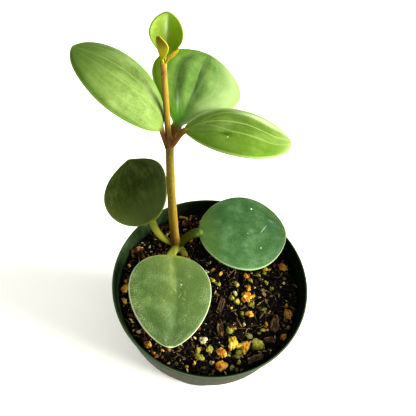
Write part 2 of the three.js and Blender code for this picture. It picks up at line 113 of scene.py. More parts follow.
def finished(made, body, relief, strength, depth, **more):
    """The material with its colour and relief linked. Depth is the relief's full height in mm."""
    tree = made.node_tree
    bump = add(tree, "Bump", Height=relief, Strength=strength, Distance=depth * MM)
    for name, value in {"Base Color": body, "Normal": bump, **more}.items():
        give(tree, tree.nodes["Principled BSDF"].inputs[name], value)
    return made


def put(name, data):
    """A new object at the origin that holds a mesh, a lamp or a camera."""
    made = bpy.data.objects.new(name, data)
    scene.collection.objects.link(made)
    return made


def new_mesh(name, points, faces, unit=1, smooth=False):
    """A mesh of these points, given in this unit, its faces turned outwards."""
    mesh = bpy.data.meshes.new(name)
    mesh.from_pydata([tuple(c * unit for c in point) for point in points], [], faces)
    work = bmesh.new()
    work.from_mesh(mesh)
    bmesh.ops.recalc_face_normals(work, faces=work.faces)
    work.to_mesh(mesh)
    work.free()
    if smooth:
        mesh.shade_smooth()
    return mesh


def solid(name, points, faces):
    """A smooth piece whose points are given in millimetres."""
    return put(name, new_mesh(name, points, faces, MM, smooth=True))


def turns(sides):
    """Angles spread evenly round a circle."""
    return [FULL_TURN * i / sides for i in range(sides)]


def circle(radius, height, sides, middle=(0, 0)):
    """A ring of points. Its height is a number, or a rule for each place."""
    places = [(middle[0] + radius * math.cos(a), middle[1] + radius * math.sin(a)) for a in turns(sides)]
    return [(x, y, height(x, y) if callable(height) else height) for x, y in places]


def skin_over(rings, start=None, end=None):
    """Points and faces of a closed skin over rings. An end is closed to a point or by a flat face."""
    sides = len(rings[0])
    tips = [[] if tip is None else [tip] for tip in (start, end)]
    points = tips[0] + [point for ring in rings for point in ring] + tips[1]
    rows = [len(tips[0]) + sides * i for i in range(len(rings))]
    faces = []
    for i in range(sides):
        j = (i + 1) % sides
        if tips[0]:
            faces.append((0, rows[0] + j, rows[0] + i))
        faces += [(a + i, a + j, b + j, b + i) for a, b in zip(rows, rows[1:])]
        if tips[1]:
            faces.append((rows[-1] + i, rows[-1] + j, len(points) - 1))
    faces += [tuple(range(row, row + sides)) for row, tip in zip((rows[0], rows[-1]), tips) if not tip]
    return points, faces


def gathered(skins):
    """Several skins as one set of points and faces."""
    points, faces = [], []
    for more, own in skins:
        faces += [tuple(len(points) + k for k in face) for face in own]
        points += more
    return points, faces


def apply_modifiers(piece):
    """Turns a piece with its modifiers into a plain mesh."""
    graph = bpy.context.evaluated_depsgraph_get()
    mesh = bpy.data.meshes.new_from_object(
        piece.evaluated_get(graph), preserve_all_data_layers=True, depsgraph=graph)
    piece.modifiers.clear()
    piece.data = mesh


def write_attribute(mesh, name, values):
    """Writes one number or one vector for each point of a mesh."""
    values = np.asarray(values, np.float32)
    kind, key = ("FLOAT", "value") if values.ndim == 1 else ("FLOAT_VECTOR", "vector")
    mesh.attributes.new(name, kind, "POINT").data.foreach_set(key, values.ravel())


def settle(piece, slot, *replaced, material=None):
    """Gives a finished piece its material and its place in the frame."""
    if material is not None:
        piece.data.materials.clear()
        piece.data.materials.append(material)
    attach(piece, "root")
    if replaced:
        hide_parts(*replaced)


def ease(x, start=0, stop=1):
    """Runs smoothly from 0 at the start to 1 at the stop."""
    x = np.clip((x - start) / (stop - start), 0, 1)
    return x * x * (3 - 2 * x)


def unit(vector):
    return vector / np.linalg.norm(vector)


# Camera: where the photograph was taken from, tilted down and a little rolled, with its sizes in mm

CAMERA = Sizes(place=(-5.0, -91.4, 252.9), down=math.radians(53.7), roll=math.radians(6.5), lens=36.95,
               film=36, nearest=0.01)

forward = Vector((0, math.cos(CAMERA.down), -math.sin(CAMERA.down)))
level_up = Vector((1, 0, 0)).cross(forward)
right = Vector((1, 0, 0)) * math.cos(CAMERA.roll) + level_up * math.sin(CAMERA.roll)
turned = Matrix((right, right.cross(forward), -forward)).transposed().to_4x4()
camera = put("camera", bpy.data.cameras.new("camera"))
for name, value in (("sensor_width", CAMERA.film), ("lens", CAMERA.lens), ("clip_start", CAMERA.nearest)):
    setattr(camera.data, name, value)
camera.matrix_world = Matrix.Translation(Vector(CAMERA.place) * MM) @ turned
scene.camera = camera


# Floor and light: a white paper sweep, a window-like soft box at the right and a bright room round it

scene.view_settings.view_transform = "Standard"
scene.view_settings.look = "None"
scene.view_settings.gamma = 0.85

FLOOR_HALF = 1500
corners = [(x * FLOOR_HALF, y * FLOOR_HALF, 0) for x, y in ((-1, -1), (1, -1), (1, 1), (-1, 1))]
floor = solid("floor", corners, [(0, 1, 2, 3)])
# Uncoated paper is matt and a little warm, and shows only the plant's shadow
floor.data.materials.append(
    new_material("white_backdrop_paper", Base_Color="#fcfcfa", Roughness=0.9, Specular_IOR_Level=0.1)[0])

room = bpy.data.worlds.new("studio_room")
scene.world = room
room.use_nodes = True
for key, value in (("Color", "#f8f7f2"), ("Strength", 1.15)):
    give(room.node_tree, room.node_tree.nodes["Background"].inputs[key], value)

# The window's place, the point that it shines at and its side are in metres
WINDOW = Sizes(place=Vector((0.85, -0.12, 0.42)), aim=Vector((0, 0, 0.09)), side=0.55, power=32.0,
               tone="#fffaf0")
lamp = bpy.data.lights.new("window_right", "AREA")
lamp.size, lamp.energy, lamp.color = WINDOW.side, WINDOW.power, colour(WINDOW.tone)[:3]
window = put("window_right", lamp)
window.location = WINDOW.place
window.rotation_euler = (WINDOW.aim - WINDOW.place).to_track_quat("-Z", "Y").to_euler()


# Pot: thin injection-moulded polypropylene, a turned cup with a wider collar, a lip and eight drain holes

# Heights, radii and walls in mm. The collar is the wider band at the top, and the lip the rim's thin edge
POT = Sizes(height=75, rim=45, wall=1.1, floor=1.5, base=30, base_round=1.2, body_top=48.4,
            body_top_radius=40.4, collar_bottom=49.4, collar_radius=41.5, lip_depth=1.6, lip_step=0.4,
            lip_out=0.35, edge=0.3, inner_step=(0.2, 0.7), floor_corner=1, corner=0.45, holes=8,
            hole_radius=3.2, hole_circle=21, sides=192, drill_sides=32)
# Where painted light sets in and is full, in mm: a painted highlight up the lip, and painted light leftwards
# round the wall, where the window lights the inner wall
PAINTED_LIGHT = Sizes(lip=(74.3, 74.95), left=(-12, -38))


def rounded(profile, radius, steps=4):
    """The profile with each corner between its ends rounded off."""
    profile = [Vector(p) for p in profile]
    line = [profile[0]]
    for before, corner, after in zip(profile, profile[1:], profile[2:]):
        reach = min(radius, 0.45 * (before - corner).length, 0.45 * (after - corner).length)
        start, end = (corner + (p - corner).normalized() * reach for p in (before, after))
        for i in range(steps + 1):
            share = i / steps
            line.append((1 - share) ** 2 * start + 2 * share * (1 - share) * corner + share ** 2 * end)
    return line + [profile[-1]]


def make_pot():
    """The pot, with a mark on each point that is on its inside."""
    p = POT
    profile = [
        (0, 0), (p.base - p.base_round, 0), (p.base, p.base_round), (p.body_top_radius, p.body_top),
        (p.collar_radius, p.collar_bottom), (p.rim - p.lip_out, p.height - p.lip_depth),
        (p.rim, p.height - p.lip_depth + p.lip_step), (p.rim, p.height), (p.rim - p.wall, p.height),
        (p.collar_radius - p.wall, p.collar_bottom + p.inner_step[1]),
        (p.body_top_radius - p.wall, p.body_top + p.inner_step[0]),
        (p.base - p.wall, p.floor + p.floor_corner), (p.base - p.wall - p.floor_corner, p.floor),
        (0, p.floor)]
    rings = [circle(radius, z, p.sides) for radius, z in rounded(profile, p.corner)[1:-1]]
    pot = solid("nursery_pot", *skin_over(rings, (0, 0, 0), (0, 0, p.floor)))
    through = (-2 * p.floor, 2 * p.floor + p.floor_corner)
    rods = solid("drain_drills", *gathered(
        skin_over([circle(p.hole_radius, z, p.drill_sides, (x, y)) for z in through])
        for x, y, _ in circle(p.hole_circle, 0, 2 * p.holes)[1::2]))
    cut = pot.modifiers.new("drain_holes", "BOOLEAN")
    cut.object, cut.operation, cut.solver = rods, "DIFFERENCE", "EXACT"
    apply_modifiers(pot)
    bpy.data.objects.remove(rods)
    pot.data.shade_smooth()
    inside = []
    for point in pot.data.vertices:
        x, y, z = point.co / MM
        outer = np.interp(z, (0, p.body_top, p.collar_bottom, p.height),
                          (p.base, p.body_top_radius, p.collar_radius, p.rim))
        inside.append(float(math.hypot(x, y) < outer - p.wall / 2 and z > p.floor / 2))
    write_attribute(pot.data, "inside", inside)
    return pot


def pot_plastic():
    """Polypropylene, injection moulded: satin dark green, painted near black within as painted shade, dusty
    and stained outside.
    """
    made, tree = new_material("polypropylene_moulded", IOR=1.49, Specular_IOR_Level=0.03)
    place = add(tree, "TexCoord").outputs["Object"]
    sideways, _, height = add(tree, "SeparateXYZ", place).outputs
    # Points on the inside get painted shade: the inner walls are painted near black
    inside = add(tree, "Attribute", attribute_name="inside").outputs["Fac"]
    cloud = add(tree, "TexNoise", Vector=place, Scale=per(18), Detail=5, Roughness=0.65)
    body = add(tree, "ValToRGB", cloud, stops=[(0.3, "#141f0e"), (0.55, "#1c2712"), (0.75, "#273217")])
    # Dust and dried water marks run down the wall. The lip gets a painted highlight, and the left side
    # painted light of the window, broken up by the marks
    drawn = add(tree, "Mapping", Vector=place, Scale=(1, 1, 0.35))
    marks = add(tree, "TexNoise", Vector=drawn, Scale=per(2.3), Detail=6, Roughness=0.75)
    stain = add(tree, "TexNoise", Vector=place, Scale=per(11), Detail=3)
    # Strength of the painted light on the left, broken up by the dust marks
    worn = add(tree, "MapRange", marks, 0.35, 0.65, 0.35 * 0.9, 0.9)
    body = layered(
        tree, body, (marks, 0.25, 0.9, 0.5, "#524e26", SOFT), (stain, 0.5, 0.8, 0.35, "#352f19", SOFT),
        (height, *(z * MM for z in PAINTED_LIGHT.lip), 0.6, "#5c6e58"), (inside, 0, 1, 0.9, "#050e06"),
        (sideways, *(x * MM for x in PAINTED_LIGHT.left), worn, "#3c5133", SOFT))
    grain = add(tree, "TexNoise", Vector=place, Scale=per(0.4), Detail=2)
    rough = add(tree, "MapRange", marks, 0.3, 0.8, 0.45, 0.65)
    return finished(made, body, grain, 0.15, 0.1, Roughness=rough)


settle(make_pot(), "pot_plastic", "pot", material=pot_plastic())


# Potting mix: a plug with a rough top, then crumbs, bark fines, fibres, specks and twigs lying on it

# Room is the air between mix and pot, and step the width of the rings of its top, but for the middle one
MIX = Sizes(surface=66.6, room=0.5, edge_drop=0.6, waviness=0.7, sides=220, step=0.62, middle=1)


def mix_height(x, y):
    """Height of the mix before its crumbs, at a place in millimetres."""
    return MIX.surface + MIX.waviness * (
        0.5 * math.sin(0.19 * x + 0.8) * math.cos(0.16 * y - 0.4)
        + 0.3 * math.sin(0.41 * x - 0.33 * y + 1.7)
        + 0.2 * math.cos(0.37 * x + 0.52 * y))


def rough_height(x, y):
    """The same height with clods and pits in it."""
    at = Vector((x, y, 3.7))
    clods = 0.55 * noise.noise(at * 0.42) + 0.42 * noise.noise(at * 0.95) + 0.28 * noise.noise(at * 2.1)
    return mix_height(x, y) + clods - 0.15


def make_mix():
    """The plug of mix, and the open bed of its top that the loose bits are strewn on."""
    p, room = POT, MIX.room
    step_radius, step_height = p.collar_radius - p.wall, p.collar_bottom + p.inner_step[1]
    slope = (p.rim - p.wall - p.edge - step_radius) / (p.height - p.edge - step_height)
    top_radius = step_radius + slope * (MIX.surface - step_height) - room
    base = p.base - p.wall - room
    skirt = [(base - p.floor_corner, p.floor + room), (base, p.floor + p.floor_corner + room),
             (p.body_top_radius - p.wall - room, p.body_top), (step_radius - room, step_height + room / 2),
             (top_radius, lambda x, y: mix_height(x, y) - MIX.edge_drop)]
    count = int((top_radius - MIX.middle) / MIX.step)
    surface = [(top_radius * (1 - k / count), rough_height) for k in range(1, count)]
    points, faces = skin_over([circle(radius, height, MIX.sides) for radius, height in skirt + surface],
                              (0, 0, skirt[0][1]), (0, 0, rough_height(0, 0)))
    bed = bpy.data.meshes.new("bed")
    first = 1 + len(skirt) * MIX.sides
    top = [face for face in faces if min(face) >= first]
    bed.from_pydata([tuple(c * MM for c in point) for point in points], [], top)
    shares = {"everywhere": lambda x, y: 1.0, "russet_side": russet_share, "less_right": left_share}
    for name, share in shares.items():
        write_attribute(bed, name, [share(x, y) for x, y, _ in points])
    return solid("potting_mix_body", points, faces), bed


def russet_share(x, y):
    """How thick the reddish fines lie: in patches at the left and the back, hardly any at the right."""
    patch = 0.5 + 1.3 * noise.noise(Vector((x, y, 0)) * 0.13)
    return max(0.0, (1.0 if x < -10 else 0.03) * patch)


def left_share(x, y):
    """How thick the pale fines lie: fewer towards the right, as painted shade where the pot wall shades the
    mix.
    """
    return 1.15 - 0.5 * ease(x, -5, 30)


def damp_humus(name, tones, spot, roughness=0.8, grain=0.9, shine=0.12):
    """Peat and composted bark, damp: near black in its pits, each bit its own brown by its tint."""
    made, tree = new_material(name, Roughness=roughness, Specular_IOR_Level=shine)
    place = add(tree, "TexCoord").outputs["Object"]
    tint = add(tree, "Attribute", attribute_name="tint").outputs["Fac"]
    body = add(tree, "ValToRGB", tint, stops=tones)
    fleck = add(tree, "TexNoise", Vector=place, Scale=per(grain), Detail=4, Roughness=0.7)
    return finished(made, layered(tree, body, (fleck, 0.5, 0.75, 0.55, spot)), fleck, 0.6, 0.3)


def crumb_mesh(name, seed):
    """A rough crumb about one unit across."""
    work = bmesh.new()
    bmesh.ops.create_icosphere(work, subdivisions=2, radius=0.5)
    offset = Vector((seed * 7.3, seed * 3.1, seed * 1.7))
    for point in work.verts:
        push = 1 + 0.9 * noise.noise(point.co * 2.6 + offset) + 0.5 * noise.noise(point.co * 6.1 + offset)
        point.co = Vector((1.0, 0.75, 0.7)) * push * point.co
    mesh = bpy.data.meshes.new(name)
    work.to_mesh(mesh)
    work.free()
    return mesh


def flake_mesh(name, seed, breadth, thickness, corners=7):
    """A torn flake of bark, one unit long: a jagged plate, a little bent, with a split top."""
    draw = random.Random(seed)
    rim = []
    for i in range(corners):
        turn = FULL_TURN * (i + draw.uniform(-0.3, 0.3)) / corners
        out = draw.uniform(0.34, 0.5)
        rim.append((out * math.cos(turn), breadth * out * math.sin(turn)))
    rings = [[(x * shrink, y * shrink, level * thickness * draw.uniform(0.7, 1.3) - 0.5 * x * x)
              for x, y in rim] for level, shrink in ((-0.5, 0.8), (0.1, 1.0), (0.5, 0.72))]
    peak = (draw.uniform(-0.1, 0.1), 0, 0.35 * thickness)
    return new_mesh(name, *skin_over(rings, (0, 0, -0.5 * thickness), peak))


def fibre_mesh(name, seed, thickness, steps=7, sides=4):
    """A thin bent fibre or root hair, one unit long."""
    draw = random.Random(seed)
    bend = [draw.uniform(-0.4, 0.4) for _ in range(3)]
    rings = []
    for i in range(steps + 1):
        t = i / steps - 0.5
        y, z = 2 * bend[0] * t * t + 3 * bend[1] * t ** 3, 0.1 - 0.35 * t * t + 0.3 * bend[2] * t
        radius = thickness * (1 - 1.6 * t * t)
        rings.append([(t, y + radius * math.cos(a), z + radius * math.sin(a)) for a in turns(sides)])
    return new_mesh(name, *skin_over(rings))


def scatter_tree():
    """Node tree that strews one of a few shapes over a bed, each turned, sized and tinted by chance."""
    tree = bpy.data.node_groups.new("strewn_on_the_mix", "GeometryNodeTree")
    tree.interface.new_socket("Geometry", in_out="OUTPUT", socket_type="NodeSocketGeometry")
    for name, kind in (("Geometry", "Geometry"), ("Shapes", "Collection"), ("Material", "Material"),
                       ("Count per m2", "Float"), ("Where", "Float"), ("Least Size", "Float"),
                       ("Largest Size", "Float"), ("Tilt", "Float"), ("Raise", "Float"), ("Seed", "Int")):
        tree.interface.new_socket(name, in_out="INPUT", socket_type="NodeSocket" + kind)
    given = add(tree, "NodeGroupInput").outputs
    seed, tilt = given["Seed"], given["Tilt"]
    density = add(tree, "Math", given["Count per m2"], given["Where"], operation="MULTIPLY")
    spread = add(tree, "GeometryNodeDistributePointsOnFaces", Mesh=given["Geometry"], Density=density,
                 Seed=seed, distribute_method="RANDOM")
    shapes = add(tree, "GeometryNodeCollectionInfo", given["Shapes"], Separate_Children=True,
                 Reset_Children=True)
    size_chance, tint = (
        add(tree, "FunctionNodeRandomValue", 0.0, 1.0, Seed=add(tree, "Math", seed, step, operation="ADD"),
            data_type="FLOAT") for step in (1.0, 2.0))
    mostly_small = add(tree, "Math", size_chance, 2.0, operation="POWER")
    size = add(tree, "MapRange", mostly_small, 0.0, 1.0, given["Least Size"], given["Largest Size"])
    lean = add(tree, "Math", tilt, -1.0, operation="MULTIPLY")
    low = add(tree, "CombineXYZ", lean, lean, 0.0)
    high = add(tree, "CombineXYZ", tilt, tilt, FULL_TURN)
    turn = add(tree, "FunctionNodeRandomValue", low, high, Seed=seed, data_type="FLOAT_VECTOR")
    strewn = add(tree, "GeometryNodeInstanceOnPoints", Points=spread, Instance=shapes, Pick_Instance=True,
                 Rotation=turn, Scale=size)
    up = add(tree, "CombineXYZ", Z=add(tree, "Math", size, given["Raise"], operation="MULTIPLY"))
    raised = add(tree, "GeometryNodeTranslateInstances", Instances=strewn, Translation=up, Local_Space=False)
    tinted = add(tree, "GeometryNodeStoreNamedAttribute", Geometry=raised, Name="tint", Value=tint,
                 data_type="FLOAT", domain="INSTANCE")
    real = add(tree, "GeometryNodeRealizeInstances", tinted)
    painted = add(tree, "GeometryNodeSetMaterial", Geometry=real, Material=given["Material"])
    add(tree, "NodeGroupOutput", painted)
    return tree


def strew(name, bed, tree, shapes, where, material, seed, per_m2, sizes, tilt, lift):
    """Runs the scatter tree on the bed and leaves its result as a plain mesh."""
    holder = bpy.data.collections.new(name + "_shapes")
    scene.collection.children.link(holder)
    models = [bpy.data.objects.new(mesh.name, mesh) for mesh in shapes]
    for model in models:
        holder.objects.link(model)
    piece = put(name, bed.copy())
    chance = piece.modifiers.new("strewn", "NODES")
    chance.node_group = tree
    socket = {item.name: item.identifier for item in tree.interface.items_tree if item.in_out == "INPUT"}
    chance[socket["Where"] + "_use_attribute"] = True
    chance[socket["Where"] + "_attribute_name"] = where
    values = {"Shapes": holder, "Material": material, "Seed": seed, "Count per m2": per_m2, "Tilt": tilt,
              "Least Size": sizes[0] * MM, "Largest Size": sizes[1] * MM, "Raise": lift}
    for key, value in values.items():
        chance[socket[key]] = value
    apply_modifiers(piece)
    for model in models:
        bpy.data.objects.remove(model)
    bpy.data.collections.remove(holder)
    settle(piece, "potting_mix")


# Tones from the least to the greatest tint of a bit, and the tone of its flecks
# The ground under the loose bits is damp humus, painted near black as painted shade of the gaps between them
humus_painted_shade = damp_humus("composted_bark_damp_ground", [
    (0.0, "#030202"), (1.0, "#070503")], "#120e08", grain=1.1)
humus_crumbs = damp_humus("composted_bark_damp_crumbs", [
    (0.0, "#040302"), (0.6, "#090705"), (0.87, "#1f180e"), (1.0, "#6b5936")], "#19130b", grain=0.7)
bark_fines = damp_humus("pine_bark_fines_dark", [
    (0.0, "#050302"), (0.6, "#100b06"), (0.78, "#2f2513"), (0.91, "#7c6a42"), (1.0, "#c8b884")],
    "#3b2b19", grain=0.6)
russet_fines = damp_humus("pine_bark_fines_damp", [
    (0.0, "#110703"), (0.4, "#3a1e0d"), (0.7, "#804c22"), (1.0, "#d8ac66")],
    "#6f4a24", roughness=0.5, shine=0.14)
dry_fibres = damp_humus("peat_fibre_dry", [
    (0.0, "#1d150c"), (0.5, "#4a3822"), (0.85, "#7d6440"), (1.0, "#b39a68")], "#8a7048", grain=0.5)
pale_dust = damp_humus("perlite_and_lime_dust", [
    (0.0, "#4a4d1c"), (0.45, "#7d8036"), (0.7, "#a39a62"), (1.0, "#cfc9ac")], "#b8b07a", grain=0.4)

plug, bed = make_mix()
settle(plug, "potting_mix", "potting_mix", material=humus_painted_shade)
strewing = scatter_tree()
crumbs = [crumb_mesh(f"crumb_{i}", 11 + i) for i in range(4)]
flakes = [flake_mesh(f"flake_{i}", 31 + i, 0.62, 0.24) for i in range(5)]
splinters = [flake_mesh(f"splinter_{i}", 61 + i, 0.32, 0.16) for i in range(5)]
chunks = [flake_mesh(f"chunk_{i}", 41 + i, 0.8, 0.55, corners=6) for i in range(4)]
fibres = [fibre_mesh(f"fibre_{i}", 51 + i, 0.028) for i in range(5)]
# Name, shapes, where, material, seed, count for a square metre, sizes in mm, tilt and how far it is raised
for name, *rest in (
        ("mix_crumbs", crumbs, "everywhere", humus_crumbs, 3, 3.0e5, (0.8, 2.4), 3.1, 0.12),
        ("mix_bark_fines", splinters, "less_right", bark_fines, 5, 4.8e5, (0.9, 3.9), 1.1, 0.25),
        ("mix_russet_fines", flakes, "russet_side", russet_fines, 6, 4.2e5, (1.0, 4.2), 1.2, 0.3),
        ("mix_fibres", fibres, "everywhere", dry_fibres, 8, 1.1e5, (1.5, 4.6), 0.6, 0.2),
        ("mix_specks", chunks, "everywhere", pale_dust, 9, 7.0e4, (0.3, 0.85), 3.1, 1.2)):
    strew(name, bed, strewing, *rest)

# Twigs and bark splinters that the photograph shows: both ends in mm, thickness in mm and paleness
TWIGS = [
    ((-19.6, 36.4), (-14.9, 35.6), 1.7, 0.95), ((-13.8, 38.6), (-13.9, 35.4), 1.3, 0.9),
    ((-15.5, 34.9), (-11.7, 30.3), 0.6, 0.7), ((-24.0, 33.0), (-20.5, 35.6), 0.9, 0.6),
    ((13.9, -15.0), (16.0, -19.1), 0.9, 0.85), ((27.3, -12.1), (29.4, -9.8), 1.0, 0.9),
    ((24.2, -13.9), (26.1, -11.7), 0.8, 0.7), ((14.1, -20.0), (21.0, -19.2), 0.4, 0.6),
    ((22.9, -7.8), (26.0, -4.7), 0.5, 0.9), ((10.9, -11.8), (13.4, -10.9), 0.9, 0.75),
    ((15.2, -10.3), (17.6, -9.1), 0.8, 0.6), ((25.8, 9.1), (33.6, 7.9), 0.5, 0.6),
    ((8.3, 5.8), (12.0, 10.1), 0.8, 0.7), ((-39.6, 12.0), (-38.4, 15.6), 0.4, 0.9),
    ((-26.8, 11.8), (-23.4, 15.7), 1.1, 0.55), ((-22.9, -33.7), (-19.0, -35.6), 0.7, 0.7),
    ((-11.6, -33.7), (-7.1, -35.7), 0.6, 0.8), ((-30.5, 8.0), (-25.5, 6.5), 0.9, 0.5),
]
TWIG_SIDES = 7
TWIG_STEPS = 8


def make_twigs():
    """Every twig as a bent, tapered, split stick that lies on the mix."""
    skins, tints = [], []
    for number, (start, end, thickness, paleness) in enumerate(TWIGS):
        along = Vector(end) - Vector(start)
        across = Vector((-along.y, along.x)).normalized()
        rings = []
        for i in range(TWIG_STEPS + 1):
            t = i / TWIG_STEPS
            x, y = Vector(start) + along * t + across * 0.25 * thickness * math.sin(3.0 * t + number)
            z = mix_height(x, y) + 0.5 * thickness + 0.15 + 0.25 * thickness * math.sin(2.2 * t + 2 * number)
            rings.append([])
            for k, turn in enumerate(turns(TWIG_SIDES)):
                radius = 0.5 * thickness * (0.8 + 0.35 * noise.noise(Vector((3 * t, k * 1.3, number * 5.1))))
                side = across * radius * math.cos(turn)
                rings[-1].append((x + side.x, y + side.y, z + radius * math.sin(turn)))
        skins.append(skin_over(rings))
        tints += [paleness] * len(skins[-1][0])
    piece = solid("mix_twigs", *gathered(skins))
    write_attribute(piece.data, "tint", tints)
    return piece


settle(make_twigs(), "potting_mix", material=dry_fibres)


# Grit and bark lying on the mix

def porous_grit(name, main, pale, dark, stain, stained=0.5):
    """Crushed porous clay and pumice: a chalky crust over its own colour, rusty stains, and painted shade in
    its pits.
    """
    made, tree = new_material(name, Roughness=0.8, Specular_IOR_Level=0.3, Subsurface_Weight=0.12,
                              Subsurface_Scale=0.8 * MM)
    place = add(tree, "TexCoord").outputs["Object"]
    drift = add(tree, "Mapping", Vector=place, Location=(0.031, 0.017, 0.043))
    cloud, patch = (add(tree, "TexNoise", Vector=at, Scale=per(3.2), Detail=3, Roughness=0.5)
                    for at in (place, drift))
    pores = add(tree, "TexNoise", Vector=place, Scale=per(0.45), Detail=3, Roughness=0.7)
    body = add(tree, "ValToRGB", cloud, stops=[(0.32, dark), (0.42, main), (0.5, main), (0.62, pale)])
    # The pits of the bump are painted darker: painted shade
    body = layered(tree, body, (patch, 0.52, 0.6, stained, stain, SOFT), (pores, 0.44, 0.32, 0.45, dark))
    return finished(made, body, pores, 0.3, 0.3)


GRIT_MATERIALS = {
    "cream": porous_grit("pumice_crushed_cream", "#a9a57a", "#ccc9a4", "#6f6b42", "#8f8e4e"),
    "lime": porous_grit("zeolite_crushed_lime", "#73761a", "#a09f46", "#42460f", "#a38a2c", 0.55),
    "moss": porous_grit("zeolite_crushed_moss", "#4b4d1c", "#767842", "#22240c", "#63603a"),
    "orange": porous_grit("akadama_crushed_orange", "#ac8622", "#cfb04c", "#7c6416", "#a04c10", 0.9),
    "amber": porous_grit("akadama_crushed_amber", "#b3942a", "#d2bc54", "#7f7a1a", "#a8560f", 0.85),
    "rust": porous_grit("akadama_crushed_rust", "#96691c", "#b98e38", "#5e3f14", "#80400f", 0.8),
}
GRIT_KINDS = ("cream lime lime orange amber orange rust lime "
              "lime orange amber orange orange rust orange rust").split()
GRIT_SEED = 200
# Flat breaks on a granule: how many, how far out by its radius, and how softly they meet
BREAKS = Sizes(count=6, reach=(0.6, 0.9), ease=0.3)


def soft_least(a, b):
    """The lesser of two numbers, with the corner between them rounded."""
    share = min(1.0, max(0.0, 0.5 + 0.5 * (b - a) / BREAKS.ease))
    return b + (a - b) * share - BREAKS.ease * share * (1 - share)


def weathered(points, seed, pits=1.0):
    """The points of a rounded lump two units across, worn flat and swollen here and there, and pitted."""
    draw = random.Random(seed)
    cuts = [(Vector([draw.uniform(-1, 1) for _ in range(3)]).normalized(), draw.uniform(*BREAKS.reach))
            for _ in range(BREAKS.count)]
    shift = Vector((seed * 3.7, seed * 1.3, seed * 5.1))
    worn = []
    for point in points:
        way = point.normalized()
        reach = point.length * (1 + 0.5 * noise.noise(way * 1.7 + shift))
        for normal, far in cuts:
            facing = way.dot(normal)
            if facing > 0.3:
                reach = soft_least(reach, far / facing)
        skin = 0.1 * noise.noise(way * 2.6 + shift) + 0.02 * noise.noise(way * 7.7 + shift)
        hollow = max(0.0, noise.noise(way * 5.2 - shift) - 0.22)
        worn.append(way * reach * (1 + skin - 0.18 * pits * hollow))
    return worn


def fitted(points, low, high):
    """The points moved and stretched so that they fill the box from low to high."""
    least = [min(p[i] for p in points) for i in range(3)]
    most = [max(p[i] for p in points) for i in range(3)]
    return [Vector(low[i] + (p[i] - least[i]) * (high[i] - low[i]) / (most[i] - least[i]) for i in range(3))
            for p in points]


def finer_copy(node, name, rounding, splitting):
    """A copy of a CAD node, its edges eased and its faces split this often, and its box and middle."""
    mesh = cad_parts[node].data.copy()
    mesh.materials.clear()
    work = bmesh.new()
    work.from_mesh(mesh)
    bmesh.ops.remove_doubles(work, verts=work.verts, dist=1e-6)
    work.to_mesh(mesh)
    work.free()
    piece = put(name, mesh)
    for kind, levels in (("CATMULL_CLARK", rounding), ("SIMPLE", splitting)):
        finer = piece.modifiers.new(kind.lower(), "SUBSURF")
        finer.subdivision_type = kind
        finer.levels = finer.render_levels = levels
    apply_modifiers(piece)
    low, high = (Vector(corner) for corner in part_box(node))
    return piece, low, high, (low + high) / 2


def reshape(piece, places, low, high):
    """Gives a piece's points new places that fill the same box, and shades it smooth."""
    for point, place in zip(piece.data.vertices, fitted(places, low, high)):
        point.co = place
    piece.data.shade_smooth()


for index, kind in enumerate(GRIT_KINDS, 1):
    node = f"grit_{index:02d}"
    piece, low, high, middle = finer_copy(node, f"{kind}_{node}", 1, 2)
    half = (high - low) / 2
    lump = [Vector((p.co[i] - middle[i]) / half[i] for i in range(3)) for p in piece.data.vertices]
    reshape(piece, weathered(lump, GRIT_SEED + index), low, high)
    settle(piece, f"grit_{kind}", node, material=GRIT_MATERIALS[kind])


def bark_wood():
    """Pine bark, broken and composted: layered dark brown with lighter torn fibres along each chip."""
    made, tree = new_material("pine_bark_broken", Roughness=0.8, Specular_IOR_Level=0.35)
    chart = add(tree, "Attribute", attribute_name="chart").outputs["Vector"]
    drawn = add(tree, "Mapping", Vector=chart, Scale=(0.16, 1.0, 1.0))
    layers = add(tree, "TexNoise", Vector=drawn, Scale=per(0.9), Detail=5, Roughness=0.7)
    body = add(tree, "ValToRGB", layers, stops=[
        (0.3, "#0a0603"), (0.43, "#20150a"), (0.52, "#4c361c"), (0.62, "#8f6a30"), (0.74, "#c49c56")])
    return finished(made, body, layers, 0.9, 0.5)


# How each chip is turned, in degrees, and the height of its torn ridges in mm
BARK_TURNS = [100, 75, 80, 33, 20]
RIDGE = 0.22

bark_material = bark_wood()
for index, turn in enumerate(BARK_TURNS, 1):
    node = f"bark_{index:02d}"
    piece, low, high, middle = finer_copy(node, f"chip_{node}", 0, 4)
    flat = Matrix.Rotation(-math.radians(turn), 3, "Z")
    charts, places = [], []
    for point in piece.data.vertices:
        chart = flat @ (point.co - middle)
        charts.append(chart)
        at = Vector((chart.x * 0.14, chart.y, chart.z)) / MM + Vector((0, 0, 7.1 * index))
        ridge = noise.noise(at * 1.5) + 0.6 * noise.noise(at * 3.3) + 0.35 * noise.noise(point.co / MM * 2.2)
        away = (point.co - middle).normalized()
        places.append(point.co + away * RIDGE * MM * (2.2 * ridge - 0.8))
    reshape(piece, places, low, high)
    write_attribute(piece.data, "chart", charts)
    settle(piece, "bark", node, material=bark_material)

